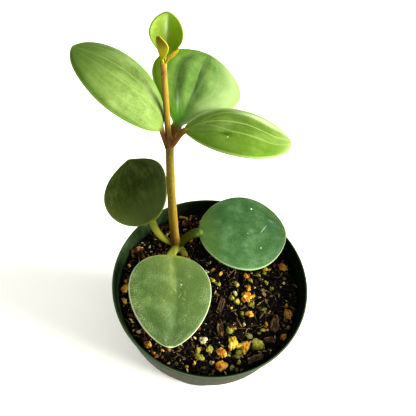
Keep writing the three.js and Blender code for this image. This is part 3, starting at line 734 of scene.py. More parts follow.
# Smaller grit: place on the mix in mm, length and breadth in mm, turn in degrees and its kind's first letter
SMALL_GRIT = [
    (-2.1, 6.3, 2.9, 1.9, -30, "c"), (0.1, 7.5, 1.7, 1.5, 0, "l"), (0.4, 5.6, 1.5, 1.2, 0, "c"),
    (4.8, 6.3, 2.9, 1.7, 60, "a"), (0.5, 2.0, 3.3, 2.9, -40, "l"), (4.0, 0.6, 2.4, 2.1, 0, "l"),
    (17.2, 6.8, 3.2, 2.4, -20, "r"), (19.2, 4.7, 3.1, 1.9, -50, "l"), (10.0, 1.6, 2.4, 1.7, 90, "m"),
    (12.6, 1.4, 3.3, 2.9, 90, "l"), (21.7, 1.6, 1.2, 1.2, 0, "c"), (25.3, 0.0, 2.4, 2.4, 0, "m"),
    (27.1, 4.8, 2.7, 1.4, -10, "l"), (12.3, -3.3, 3.3, 1.9, -70, "c"), (10.7, -5.8, 3.0, 2.6, -30, "l"),
    (13.3, -7.1, 3.0, 2.7, -20, "l"), (20.9, -3.3, 1.9, 1.9, 0, "a"), (21.3, -4.9, 1.4, 1.4, 0, "m"),
    (19.9, -7.8, 3.0, 2.4, -20, "l"), (15.4, -7.8, 1.4, 1.2, 60, "m"), (11.0, -10.5, 1.7, 1.4, 0, "a"),
    (24.0, -3.6, 1.9, 1.0, 20, "c"), (29.6, -2.2, 1.9, 1.4, 0, "m"), (25.9, -9.7, 3.2, 1.9, 25, "l"),
    (15.9, -12.7, 2.6, 2.1, -20, "l"), (17.2, -17.9, 2.1, 1.6, 80, "c"), (8.4, -17.4, 1.4, 1.4, 0, "m"),
    (25.7, -19.6, 2.7, 1.8, 20, "l"), (24.2, -21.1, 1.8, 1.3, 0, "m"), (27.3, -16.6, 3.2, 1.8, 80, "r"),
    (19.4, -23.1, 3.5, 2.7, -40, "m"), (14.2, -32.5, 3.9, 1.9, 0, "m"), (-2.3, -31.6, 3.0, 2.6, 60, "l"),
    (-3.6, -33.9, 1.7, 1.4, 0, "o"), (4.1, -36.3, 2.3, 2.1, 40, "c"), (12.8, -37.4, 2.5, 2.1, 50, "l"),
    (14.8, -38.0, 2.1, 1.7, 80, "m"), (15.7, -34.8, 2.4, 1.9, 70, "l"), (20.0, -32.7, 1.7, 1.5, -30, "c"),
    (-3.2, -37.2, 2.1, 1.3, 80, "a"), (29.4, -27.9, 1.1, 1.0, 0, "c"), (37.6, -16.6, 1.8, 1.8, 0, "r"),
    (35.1, -21.5, 3.6, 2.9, 40, "r"), (35.5, 5.1, 1.9, 1.9, 0, "c"), (35.6, 7.6, 1.9, 1.5, 0, "m"),
    (26.4, 11.6, 3.0, 2.3, 0, "a"), (28.6, 12.0, 2.0, 1.6, 70, "a"), (26.1, 9.5, 2.4, 1.8, 0, "l"),
    (23.2, 7.9, 2.9, 1.9, -20, "l"), (21.8, 9.9, 1.2, 1.0, 0, "c"), (19.9, 8.6, 1.5, 1.0, 0, "c"),
    (36.8, -3.9, 0.9, 0.9, 0, "c"), (24.1, -6.6, 1.0, 0.9, 0, "c"), (36.7, -6.1, 1.9, 1.4, 80, "r"),
    (-40.0, -2.9, 2.8, 2.1, -30, "o"), (-38.2, -12.9, 3.2, 2.3, -50, "o"),
    (-29.2, -26.4, 2.4, 2.0, 0, "c"), (-31.9, -24.0, 1.8, 1.3, 0, "m"), (-21.2, -34.9, 2.1, 1.5, 20, "r"),
    (-15.6, -34.3, 1.5, 1.0, 0, "c"), (-11.1, -37.8, 1.7, 1.3, 0, "m"), (-6.3, -39.0, 1.7, 1.4, 20, "o"),
    (-11.7, 22.6, 2.5, 1.8, 50, "o"), (-35.6, 15.6, 2.0, 1.3, 40, "c"), (-31.9, 16.9, 2.5, 1.1, 80, "c"),
    (-15.7, 29.6, 2.4, 1.0, 25, "c"), (-9.9, 30.2, 1.2, 1.0, 0, "c"), (-11.4, 33.3, 2.1, 1.6, 0, "r"),
    (29.8, 1.5, 2.0, 1.7, 30, "l"), (8.0, 26.0, 2.6, 2.0, 10, "l"), (20.0, 27.0, 3.0, 2.2, 60, "o"),
    (31.0, 22.0, 2.4, 1.8, 20, "c"), (-4.0, 36.0, 2.6, 2.1, 50, "a"), (12.0, 36.0, 2.8, 2.0, 0, "l"),
    (15.4, -30.4, 3.4, 2.6, 20, "l"), (15.3, -27.6, 3.4, 3.0, 60, "a"), (11.0, -31.6, 2.4, 2.0, 0, "m"),
]
# Height by length and breadth together, and how far up the middle lies by the half height
LYING = Sizes(seed=70, height=0.45, lift=0.72, pits=0.7, splits=4)


def make_small_grit():
    """All the smaller granules, each broken by its own seed."""
    kinds = [kind[0] for kind in GRIT_MATERIALS]
    work = bmesh.new()
    for number, (x, y, length, breadth, turn, kind) in enumerate(SMALL_GRIT):
        first = len(work.verts)
        bmesh.ops.create_icosphere(work, subdivisions=LYING.splits, radius=1)
        work.verts.ensure_lookup_table()
        lump = work.verts[first:]
        box = Vector((length, breadth, LYING.height * (length + breadth))) * MM / 2
        lie = Matrix.Translation(Vector((x, y, mix_height(x, y) + LYING.lift * box.z / MM)) * MM)
        lie = lie @ Matrix.Rotation(math.radians(turn), 4, "Z")
        worn = weathered([p.co for p in lump], LYING.seed + number, LYING.pits)
        for point, place in zip(lump, fitted(worn, -box, box)):
            point.co = lie @ place
            for face in point.link_faces:
                face.material_index = kinds.index(kind)
    made = bpy.data.meshes.new("small_grit")
    work.to_mesh(made)
    work.free()
    made.shade_smooth()
    for material in GRIT_MATERIALS.values():
        made.materials.append(material)
    return put("small_grit", made)


settle(make_small_grit(), "grit_lime")


# Stem: a fleshy rod, swollen and ringed at its joints, its colour changing with height

# Points on its axis and its radius there, in mm
STEM = [
    ((-13.0, 13.6, 46), 1.4), ((-13.0, 13.6, 58), 1.6), ((-13.2, 13.8, 65), 1.65),
    ((-14.8, 15.4, 68.3), 1.8), ((-18.0, 17.3, 70.4), 2.5), ((-18.8, 17.5, 74), 2.3),
    ((-19.9, 17.5, 90), 2.05),
    ((-21.0, 17.5, 118), 1.75), ((-21.35, 17.5, 136), 1.55), ((-21.4, 17.5, 141.4), 1.6),
    ((-21.8, 17.5, 145.5), 1.15), ((-22.5, 17.5, 160), 1.05), ((-23.0, 17.5, 172), 0.95),
    ((-23.1, 17.45, 174.3), 1.05), ((-23.15, 17.4, 175.5), 0.8),
]
STEM_STEPS = 40
STEM_SIDES = 48
# The wrinkles round it and the heights over which they set in near its foot and its tip, in mm
WRINKLES = Sizes(gap=0.9, depth=0.035, foot=(86, 76), tip=(168, 172))
STEM_TONES = (66.5, 182.5)


def curve_through(points, steps):
    """Points of a centripetal Catmull-Rom curve through the given ones."""
    given = [np.array(p, float) for p in points]
    ends = [2 * given[0] - given[1]] + given + [2 * given[-1] - given[-2]]
    line = []
    for four in zip(ends, ends[1:], ends[2:], ends[3:]):
        knots = [0.0]
        for p, q in zip(four, four[1:]):
            knots.append(knots[-1] + np.linalg.norm(q - p) ** 0.5)
        for i in range(steps):
            t = knots[1] + (knots[2] - knots[1]) * i / steps
            row = four
            for before, after in ((0, 1), (0, 2), (1, 2)):
                spans = zip(row, row[1:], knots[before:], knots[after:])
                row = [((b - t) * p + (t - a) * q) / (b - a) for p, q, a, b in spans]
            line.append(row[0])
    return line + [given[-1]]


def make_stem():
    """The stem as rings round its axis, with low ribs along it, fine wrinkles round it and closed ends."""
    axis = curve_through([p for p, _ in STEM], STEM_STEPS)
    radii = [a + (b - a) * ease(i / STEM_STEPS)
             for (_, a), (_, b) in zip(STEM, STEM[1:]) for i in range(STEM_STEPS)]
    rings, lit = [], [0.0]
    across = np.array((1.0, 0.0, 0.0))
    for i, (middle, radius) in enumerate(zip(axis, radii + [STEM[-1][1]])):
        along = unit(axis[min(i + 1, len(axis) - 1)] - axis[max(i - 1, 0)])
        across = unit(across - along * across.dot(along))
        other = np.cross(along, across)
        wrinkled = ease(middle[2], *WRINKLES.foot) + ease(middle[2], *WRINKLES.tip)
        rings.append([])
        for turn in turns(STEM_SIDES):
            flesh = noise.noise(Vector((math.cos(turn) * 1.6, math.sin(turn) * 1.6, middle[2] * 0.12)))
            ridge = 0.03 * math.cos(5 * turn + 0.02 * middle[2]) + 0.05 * flesh
            ring = math.sin(FULL_TURN * middle[2] / WRINKLES.gap + 2.2 * flesh)
            out = radius * (1 + ridge) + WRINKLES.depth * ring * wrinkled
            rings[-1].append(middle + out * (math.cos(turn) * across + math.sin(turn) * other))
            lit.append(math.cos(turn + 0.5))
    piece = solid("stem_main", *skin_over(rings, axis[0], axis[-1]))
    # How far each point faces the window, for the stem's painted light and shade
    write_attribute(piece.data, "window_side", lit + [0.0])
    return piece


def stem_skin():
    """Living epidermis over a fleshy stem: olive low down, golden above, brown at the joints, streaked."""
    made, tree = new_material(
        "stem_epidermis", Roughness=0.5, IOR=1.42, Specular_IOR_Level=0.12, Subsurface_Weight=0.2,
        Subsurface_Scale=1.0 * MM, Subsurface_Radius=(1.0, 0.7, 0.25))
    place = add(tree, "TexCoord").outputs["Object"]
    height = add(tree, "SeparateXYZ", place).outputs["Z"]
    window_side = add(tree, "Attribute", attribute_name="window_side").outputs["Fac"]
    wobble = add(tree, "TexNoise", Vector=place, Scale=per(3.8), Detail=3)
    shifted = add(tree, "Math", wobble, 5 * MM, height, operation="MULTIPLY_ADD")
    share = add(tree, "MapRange", shifted, *(z * MM for z in STEM_TONES))
    body = add(tree, "ValToRGB", share, stops=[
        (0.0, "#84942f"), (0.065, "#7c8a24"), (0.085, "#654f0c"), (0.12, "#5c4108"), (0.16, "#5d4e12"),
        (0.24, "#645310"), (0.45, "#605408"), (0.62, "#59560c"), (0.655, "#4a3a17"), (0.69, "#5c3f17"),
        (0.76, "#7b6822"), (0.9, "#8a762e"), (0.935, "#7c5a2c"), (0.965, "#8c7a2c"), (1.0, "#96903a")])
    drawn = add(tree, "Mapping", Vector=place, Scale=(1, 1, 0.06))
    streaks = add(tree, "TexNoise", Vector=drawn, Scale=per(0.7), Detail=3, Roughness=0.6)
    pores = add(tree, "TexNoise", Vector=place, Scale=per(0.5), Detail=2)
    # Painted shade on the side away from the window and painted light towards it, with dark streaks and pale
    # pores
    body = layered(
        tree, body, (window_side, -0.1, -0.9, 0.6, "#3d2c0c"), (window_side, 0.65, 1.0, 0.35, "#a28c48"),
        (streaks, 0.42, 0.68, 0.5, "#4b3c16"), (pores, 0.6, 0.7, 0.45, "#b3a25e"))
    return finished(made, body, streaks, 0.4, 0.2)


settle(make_stem(), "stem", "stem", material=stem_skin())


# Leaves: place, angles and outline as in the solids

LEAF_SIZES = ("azimuth rise roll bend cup twist length width root tip thick arrive sag midrib_line "
              "hem flare").split()


def leaf_of(name, slot, joint, base, stalk, sizes, veins=(), folds=(), midrib=((0, 0), (1, 0)), crown=1.0):
    """A leaf's driving values. Joint and base are places in mm, and stalk is its radius at each end.
    Sizes go by LEAF_SIZES: angles in degrees, length, width and thickness in mm, root and tip the two powers
    of the outline's curve, hem how far the margin is curled down, flare how far the stalk widens.
    veins: the side veins of each half, by their share of the half width, strength and start.
    folds: long valleys, by their place across, depth, width and start.
    midrib: its place across, by the share of the length. crown: the stalk's rise over the blade."""
    return Sizes(name=name, slot=slot, joint=joint, base=base, stalk=stalk, veins=veins, folds=folds,
                 midrib=midrib, crown=crown, **dict(zip(LEAF_SIZES, sizes)))


LEAVES = [
    leaf_of("lower_front", "leaf_sage", (-18.0, 16.7, 70.6), (-19.3, 6.2, 80), (2.0, 1.8),
            (-82, 2, 10, -8, -5, -1, 42.3, 37, 0.4, 0.66, 1.7, 0.12, 0, 0.0, 0.15, 1.2), [(0.36, 0.25, 0.1)],
            [(0.0, 0.4, 3.0, 0.05)], [(0, 0.06), (0.35, 0.13), (0.8, 0.1), (1, 0)], 0.35),
    leaf_of("lower_right", "leaf_bluegreen", (-18.4, 17.6, 70.6), (-8, 20.4, 80), (2.1, 2.0),
            (9.5, 1.5, 10, -9, 2, -18.5, 43.6, 42.8, 0.53, 0.63, 1.7, 0.3, 0, 0.3, 0.15, 1.3),
            [(0.34, 0.25, 0.1), (0.66, 0.15, 0.05)], [(0.0, 0.25, 2.2, 0.0)]),
    leaf_of("lower_left", "leaf_olive", (-19.4, 18.0, 70.6), (-30.3, 20.1, 85), (1.7, 1.5),
            (122, 14, 40, -10.5, 38, -18.5, 36.5, 36.5, 0.57, 0.75, 1.7, 0.4, 2.8, 0.3, 0.1, 1.2),
            [(0.34, 0.3, 0.1), (0.66, 0.2, 0.05)], [(0.0, 0.3, 2.5, 0.0)]),
    leaf_of("upper_left", "leaf_fresh", (-22.3, 17.1, 139.4), (-23.9, 15.5, 150.2), (0.85, 0.8),
            (152, 87.5, -17.5, -94, -47, -5, 41.6, 28.4, 0.66, 0.56, 1.4, 0.2, 0, 1.0, 0.5, 1.6),
            [(0.34, 0.5, 0.08), (0.64, 0.3, 0.04)], [(0.0, 0.55, 2.0, 0.0)],
            [(0, 0), (0.4, -0.03), (0.8, 0.05)]),
    leaf_of("upper_back", "leaf_mid", (-21.2, 18.4, 141.6), (-19.4, 19.6, 147.5), (1.15, 1.1),
            (77.5, 12.7, -8.5, -16.7, -24, -7.5, 41.2, 37.9, 1.12, 0.53, 1.4, 0.12, 0, 0.45, 0.4, 1.9),
            [(0.45, 0.3, 0.05), (0.75, 0.2, 0.05)], [(0.0, 1.5, 2.3, -0.1), (0.45, 1.1, 2.4, 0.0)],
            [(0, -0.05), (0.5, 0.0), (0.95, 0.08)]),
    leaf_of("upper_right", "leaf_fresh", (-20.3, 17.0, 141.0), (-15.7, 14.1, 151.6), (0.95, 0.85),
            (14.6, 21.2, 6.5, -62.5, -28.5, 4, 41, 29.2, 0.66, 0.63, 1.4, 0.12, 0, 1.0, 0.5, 1.6),
            [(0.42, 0.6, 0.0), (0.75, 0.05, 0.04)], [(0.0, 0.4, 2.0, 0.0)],
            [(0, 0.05), (0.18, 0.14), (0.34, 0.08), (0.54, -0.05), (0.76, -0.3), (1, -0.3)]),
    leaf_of("young", "leaf_young", (-23.1, 18.0, 175.0), (-22.7, 17.82, 176.6), (0.4, 0.4),
            (76, 73, -12, 27, 43, -5, 13.9, 10.5, 0.94, 0.74, 0.9, 0.3, 0, 0.6, 0.1, 1.3),
            folds=[(0.0, 0.25, 0.9, 0.0)]),
    leaf_of("tiny_left", "leaf_tiny", (-23.4, 16.9, 175.0), (-22.9, 15.2, 176.9), (0.35, 0.35),
            (-124, 80, 0, 6, 40, 0, 8.7, 5.0, 1.5, 0.9, 0.7, 0.3, 0, 0.3, 0.0, 1.2),
            folds=[(0.0, 0.2, 0.7, 0.0)]),
    leaf_of("tiny_right", "leaf_tiny", (-22.6, 17.2, 175.0), (-21.5, 16.5, 176.9), (0.35, 0.35),
            (-24, 52, 28, 5, 25, 0, 6.0, 2.0, 0.7, 1.0, 0.7, 0.3, 0, 0.2, 0.0, 1.0)),
]
# Counts of rings and points, and the height of the ripples in mm
LARGE = Sizes(rings=104, across=44, stalk_rings=26, ripple=0.16)
SMALL = Sizes(rings=44, across=18, stalk_rings=8, ripple=0.04)
SMALL_LENGTH = 20
# Widths and depths in mm. What grows, fades or flares does so over this share of the blade's length
RIM_THICKNESS = 0.7
GROOVE_WIDTH = 0.42
GROOVE_SHARE = 0.13
VEIN_WIDTH = 0.4
VEIN_DEPTH = 0.08
VEIN_GROWTH = 0.4
FOLD_GROWTH = 0.3
RIB_FADE = 0.26
FLARE_LENGTH = 0.12
CROWN_FADE = 0.07
HEM_WIDTH = 1.2
UNDERSIDE_CHART = 0.01
LEAF_MARKS = ("phase", "spacing", "strength", "edge", "side", "blade", "along", "across", "chart")


def bell(x, width):
    """A smooth hump, one high in its middle."""
    return np.exp(-(x / width) ** 2)


def leaf_frame(leaf):
    """Directions at the blade's base: along the midrib, out of the upper face, and across."""
    azimuth, rise, roll = (math.radians(angle) for angle in (leaf.azimuth, leaf.rise, leaf.roll))
    flat = math.cos(rise)
    along = np.array((flat * math.cos(azimuth), flat * math.sin(azimuth), math.sin(rise)))
    level = unit(np.array((0.0, 0.0, 1.0)) - along * along[2])
    up = level * math.cos(roll) + np.cross(level, along) * math.sin(roll)
    return along, up, np.cross(up, along)


def leaf_width(leaf, u):
    """Half width of the blade at a share of its length."""
    widest = leaf.root / (leaf.root + leaf.tip)
    peak = widest ** leaf.root * (1 - widest) ** leaf.tip
    return leaf.width / 2 * u ** leaf.root * (1 - u) ** leaf.tip / peak


def midrib_place(leaf, u):
    """Where the midrib lies across the blade, from -1 to 1, smoothed along the leaf."""
    near = [min(1.0, max(0.0, u + shift)) for shift in (-0.06, -0.03, 0, 0.03, 0.06)]
    return float(np.mean(np.interp(near, *zip(*leaf.midrib))))


def vein_places(leaf, u):
    """The veins' places across the blade from margin to margin, and how strongly each shows there."""
    shares, strengths = [0.0], [leaf.midrib_line]
    for share, strength, start in leaf.veins:
        waver = (1 - 0.2 * u * u) * (1 + 0.04 * math.sin(9 * u + 5 * share))
        shares.append(max(0.02 * len(shares), share * ease(u, start, start + VEIN_GROWTH) * waver))
        strengths.append(strength)
    places = [-1.0] + [-share for share in shares[:0:-1]] + shares + [1.0]
    return places, [0.0] + strengths[:0:-1] + strengths + [0.0]


def blade_ring(leaf, u, t):
    """One ring of the blade: its frame, the sheet's halves above and below, and what its points bear."""
    along, up, across = leaf_frame(leaf)
    bend = math.radians(leaf.bend) / leaf.length
    angle = bend * leaf.length * u
    middle = np.array(leaf.base) + along * math.sin(angle) / bend + up * (1 - math.cos(angle)) / bend
    up_here = up * math.cos(angle) - along * math.sin(angle)
    twist = math.radians(leaf.twist) * u
    normal = up_here * math.cos(twist) + across * math.sin(twist)
    sideways = across * math.cos(twist) - up_here * math.sin(twist)
    radius = leaf.stalk[1]
    half = math.hypot(leaf_width(leaf, u), radius * leaf.flare * max(0.0, 1 - u / FLARE_LENGTH))
    centre = midrib_place(leaf, u)
    # The sheet: thickest in its middle and round at its rim
    s = t + centre * (1 - t * t)
    x = s * half
    edge = (1 - np.abs(s)) * half
    rim = min(RIM_THICKNESS, 0.45 * leaf.thick)
    swell = np.sqrt(np.maximum(0, 1 - s * s)) * min(1, 4 * u * (1 - u) + 0.1)
    eased = np.clip(edge / (0.5 * rim), 0, 1)
    lens = (rim + (leaf.thick - rim) * swell) / 2 * np.sqrt(eased * (2 - eased))
    # The rib under the midrib, and the stalk's crown that runs out over the blade
    fade = 1 - ease(u, 0, RIB_FADE)
    rib = radius * (0.25 + 0.75 * fade) * (1 if u < 0.9 else (1 - u) / 0.1)
    crown = radius * leaf.crown * (1 - ease(u, 0, CROWN_FADE))
    below, above = (np.maximum(lens, np.sqrt(np.maximum(0, r * r - x * x)) * share)
                    for r, share in ((rib, 0.55 + 0.45 * fade), (crown, 1)))
    ends = math.sin(math.pi * min(1, u + 0.02)) ** 0.6 if u < 0.98 else 0.0
    groove = GROOVE_SHARE * leaf.thick * leaf.midrib_line * ends
    above = above - groove * bell((s - centre) * half, GROOVE_WIDTH)
    # Veins sink in from above, and the hem and the folds press the whole sheet down
    places, strengths = vein_places(leaf, u)
    phase = np.interp(t, places, range(len(places)))
    strength = np.interp(t, places, strengths) * ends
    spacing = half * np.interp(phase + 0.5, range(1, len(places)), np.diff(places))
    for place, deep in zip(places[1:-1], strengths[1:-1]):
        above = above - VEIN_DEPTH * deep * ends * bell((t - place) * half, VEIN_WIDTH)
    press = leaf.hem * bell(edge, HEM_WIDTH) * min(1, 8 * u) * min(1, half / 4)
    for place, deep, width, start in leaf.folds:
        press = press + deep * ease(u, start, start + FOLD_GROWTH) * ends * bell((t - place) * half, width)
    edge = np.minimum(edge, (1 - u) * leaf.length * 0.8 + 0.02)
    marks = dict(phase=phase, spacing=spacing * MM, strength=strength, edge=edge * MM, across=s,
                 chart=t * leaf.width / 2)
    return (middle, normal, sideways), x, above - press, below + press, marks


def make_leaf(leaf):
    """One closed skin over the stalk and the blade, with what the cuticle needs written on its points."""
    size = SMALL if leaf.length < SMALL_LENGTH else LARGE
    # Points across the blade, closer together near its midrib and its margins
    t = np.arange(-size.across, size.across + 1) / size.across
    t = 0.45 * t + 0.55 * np.sin(t * math.pi / 2)
    t = t - 0.07 * np.sin(FULL_TURN * t)
    along, up, across = leaf_frame(leaf)
    start, end = np.array(leaf.joint, float), np.array(leaf.base, float)
    reach = np.linalg.norm(end - start)
    sag = np.array((0, 0, -float(leaf.sag)))
    # The stalk is one curve held by four points, the third of which turns it into the blade
    hold = [start, start + 0.35 * (end - start) + sag, end - along * leaf.arrive * reach + sag, end]
    rings, written = [], {name: [] for name in LEAF_MARKS}

    def put_ring(axes, x, above, below, marks, place_along, in_blade, curl=0.0):
        middle, normal, sideways = axes
        turn = curl * x
        sheet = middle + np.outer(np.sin(turn) / curl if curl else x, sideways)
        sheet = sheet + np.outer((1 - np.cos(turn)) / curl if curl else 0 * x, normal)
        face = np.outer(np.cos(turn), normal) - np.outer(np.sin(turn), sideways)
        rings.append(np.vstack((sheet + face * above[:, None], (sheet - face * below[:, None])[-2:0:-1])))
        both = {name: np.concatenate((row, row[-2:0:-1])) for name, row in marks.items()}
        top = np.concatenate((np.ones(len(x)), np.zeros(len(x) - 2)))
        lengthwise = 0 * top + max(place_along, 0) * leaf.length * MM
        both["chart"] = np.column_stack((lengthwise, both["chart"] * MM, (1 - top) * UNDERSIDE_CHART))
        both.update(side=top, blade=0 * top + in_blade, along=0 * top + place_along)
        for name in LEAF_MARKS:
            written[name].append(both[name])

    for i in range(size.stalk_rings):
        v = i / size.stalk_rings
        middle = np.array(((1 - v) ** 3, 3 * (1 - v) ** 2 * v, 3 * (1 - v) * v * v, v ** 3)) @ hold
        heading = unit(np.array(((1 - v) ** 2, 2 * (1 - v) * v, v * v)) @ np.diff(hold, axis=0))
        sideways = unit(across - heading * across.dot(heading))
        radius = leaf.stalk[0] + (leaf.stalk[1] - leaf.stalk[0]) * v
        half = radius * (1 + (leaf.flare - 1) * ease(v, 0.35))
        section = radius * np.sqrt(np.maximum(0, 1 - t * t))
        lowered = 1 - (1 - leaf.crown) * ease(v, 0.3) - 0.12 * v * bell(t, 0.4)
        none = 0 * t
        marks = dict(phase=none, spacing=none + 1, strength=none, edge=none + 0.01, across=t, chart=t * half)
        axes = (middle, np.cross(heading, sideways), sideways)
        put_ring(axes, t * half, section * lowered, section, marks, v - 1, 0.3 * ease(v, 0.8))
    curl = math.radians(leaf.cup) / (leaf.width / 2)
    for i in range(size.rings):
        u = (1 - math.cos(math.pi * i / size.rings)) / 2
        put_ring(*blade_ring(leaf, u, t), u, 0.3 + 0.7 * ease(u, 0, 0.05), curl)
    points, faces = skin_over(rings, start, blade_ring(leaf, 1.0, t)[0][0])
    marks = {name: np.concatenate([rows[0][:1]] + rows + [rows[-1][:1]]) for name, rows in written.items()}
    for i in np.flatnonzero(marks["blade"] > 0.5):
        at = Vector(points[i])
        lift = noise.noise(at * 0.11) + 0.45 * noise.noise(at * 0.27) + 0.12 * noise.noise(at * 0.8)
        points[i] = points[i] + up * size.ripple * lift * min(1.0, 4 * marks["along"][i])
    piece = solid("leaf_" + leaf.name + "_blade", points, faces)
    for name, values in marks.items():
        write_attribute(piece.data, name, values)
    return piece


def leaf_cuticle(name, ramp, vein, rim, under, stalk, lines=0.5, rim_share=0.7, rim_width=0.9, tints=(),
                 spots=(), dust=0.0, dust_tone="#8f9c84", scratches=0.0, freckled=0.4, streak=0.35,
                 roughness=0.5, glow=0.1, depth=1.2, coat=0.0, shine=0.1):
    """A waxy cuticle over thick green flesh: satin, a little translucent, mottled along its veins, dusty."""
    made, tree = new_material(
        "leaf_cuticle_" + name, Roughness=roughness, IOR=1.45, Specular_IOR_Level=shine,
        Subsurface_Weight=glow, Subsurface_Scale=depth * MM, Subsurface_Radius=(0.55, 1.0, 0.2),
        Coat_Weight=coat, Coat_Roughness=0.25)
    on = {key: add(tree, "Attribute", attribute_name=key).outputs["Fac"] for key in LEAF_MARKS}
    chart = add(tree, "Attribute", attribute_name="chart").outputs["Vector"]
    # Mottling: broad clouds, streaks drawn along the blade, and freckles
    drawn = add(tree, "Mapping", Vector=chart, Scale=(0.2, 1, 1))
    cloud = add(tree, "TexNoise", Vector=chart, Scale=per(9), Detail=4, Roughness=0.6)
    streaks = add(tree, "TexNoise", Vector=drawn, Scale=per(2.2), Detail=4, Roughness=0.65)
    cells = add(tree, "TexNoise", Vector=chart, Scale=per(0.8), Detail=3, Roughness=0.6)
    mottle = add(tree, "Mix", streak, cloud, streaks, data_type="FLOAT")
    body = add(tree, "ValToRGB", mottle, stops=list(zip((0.36, 0.5, 0.64), ramp)))
    layers = [(cells, 0.5, 0.66, freckled, ramp[2])]
    layers += [(on[key], start, full, strength, tone, SOFT) for key, start, full, tone, strength in tints]
    # Veins: thin pale lines where the phase is a whole number
    off = add(tree, "Math", on["phase"], 0.5, operation="PINGPONG")
    off = add(tree, "Math", off, on["spacing"], operation="MULTIPLY")
    strength = add(tree, "Math", on["strength"], lines, operation="MULTIPLY")
    layers.append((off, 0.5 * MM, 0.0, strength, vein, SOFT))
    # Single patches, some of them painted sheen, and scratches: place along and across, half length and half
    # breadth in mm, turn in degrees, tone, strength and the share of it that is full
    for x, y, long, wide, turn, tone, strength, full in spots:
        near = add(tree, "Mapping", Vector=chart, Location=(x * MM, y * MM, 0), vector_type="TEXTURE",
                   Rotation=(0, 0, math.radians(turn)), Scale=(long * MM, wide * MM, 1))
        far = add(tree, "VectorMath", near, operation="LENGTH").outputs["Value"]
        ragged = add(tree, "Math", cells, 0.6, far, operation="MULTIPLY_ADD")
        layers.append((ragged, 1.3, 1.3 * full, strength, tone, SOFT))
    if dust:
        fine = add(tree, "TexNoise", Vector=chart, Scale=per(0.5), Detail=3, Roughness=0.7)
        near_rim = add(tree, "MapRange", on["edge"], 5.5 * MM, 1 * MM, 0.25, 1.0)
        lying = add(tree, "MapRange", cloud, 0.35, 0.6, 0.3 * dust, dust)
        lying = add(tree, "Math", near_rim, lying, operation="MULTIPLY")
        layers.append((fine, 0.5, 0.66, lying, dust_tone))
    if scratches:
        swirl = add(tree, "TexNoise", Vector=chart, Scale=per(5), Detail=2, Distortion=1.6)
        level = add(tree, "Math", swirl, 14.0, operation="MULTIPLY")
        bands = add(tree, "Math", level, 0.5, operation="PINGPONG")
        broken = add(tree, "MapRange", cloud, 0.48, 0.6, 0.0, scratches)
        layers.append((bands, 0.12, 0.03, broken, dust_tone))
    layers.append((on["edge"], rim_width * MM, rim_width / 3 * MM, rim_share, rim, SOFT))
    if under:
        layers.append((on["side"], 1.0, 0.0, 1.0, under))
    stalk_tone = layered(tree, stalk[0], (on["along"], -0.95, -0.1, 1.0, stalk[1]))
    layers.append((on["blade"], 1.0, 0.0, 1.0, stalk_tone))
    relief = add(tree, "Math", cells, 0.5, streaks, operation="MULTIPLY_ADD")
    return finished(made, layered(tree, body, *layers), relief, 0.25, 0.4)


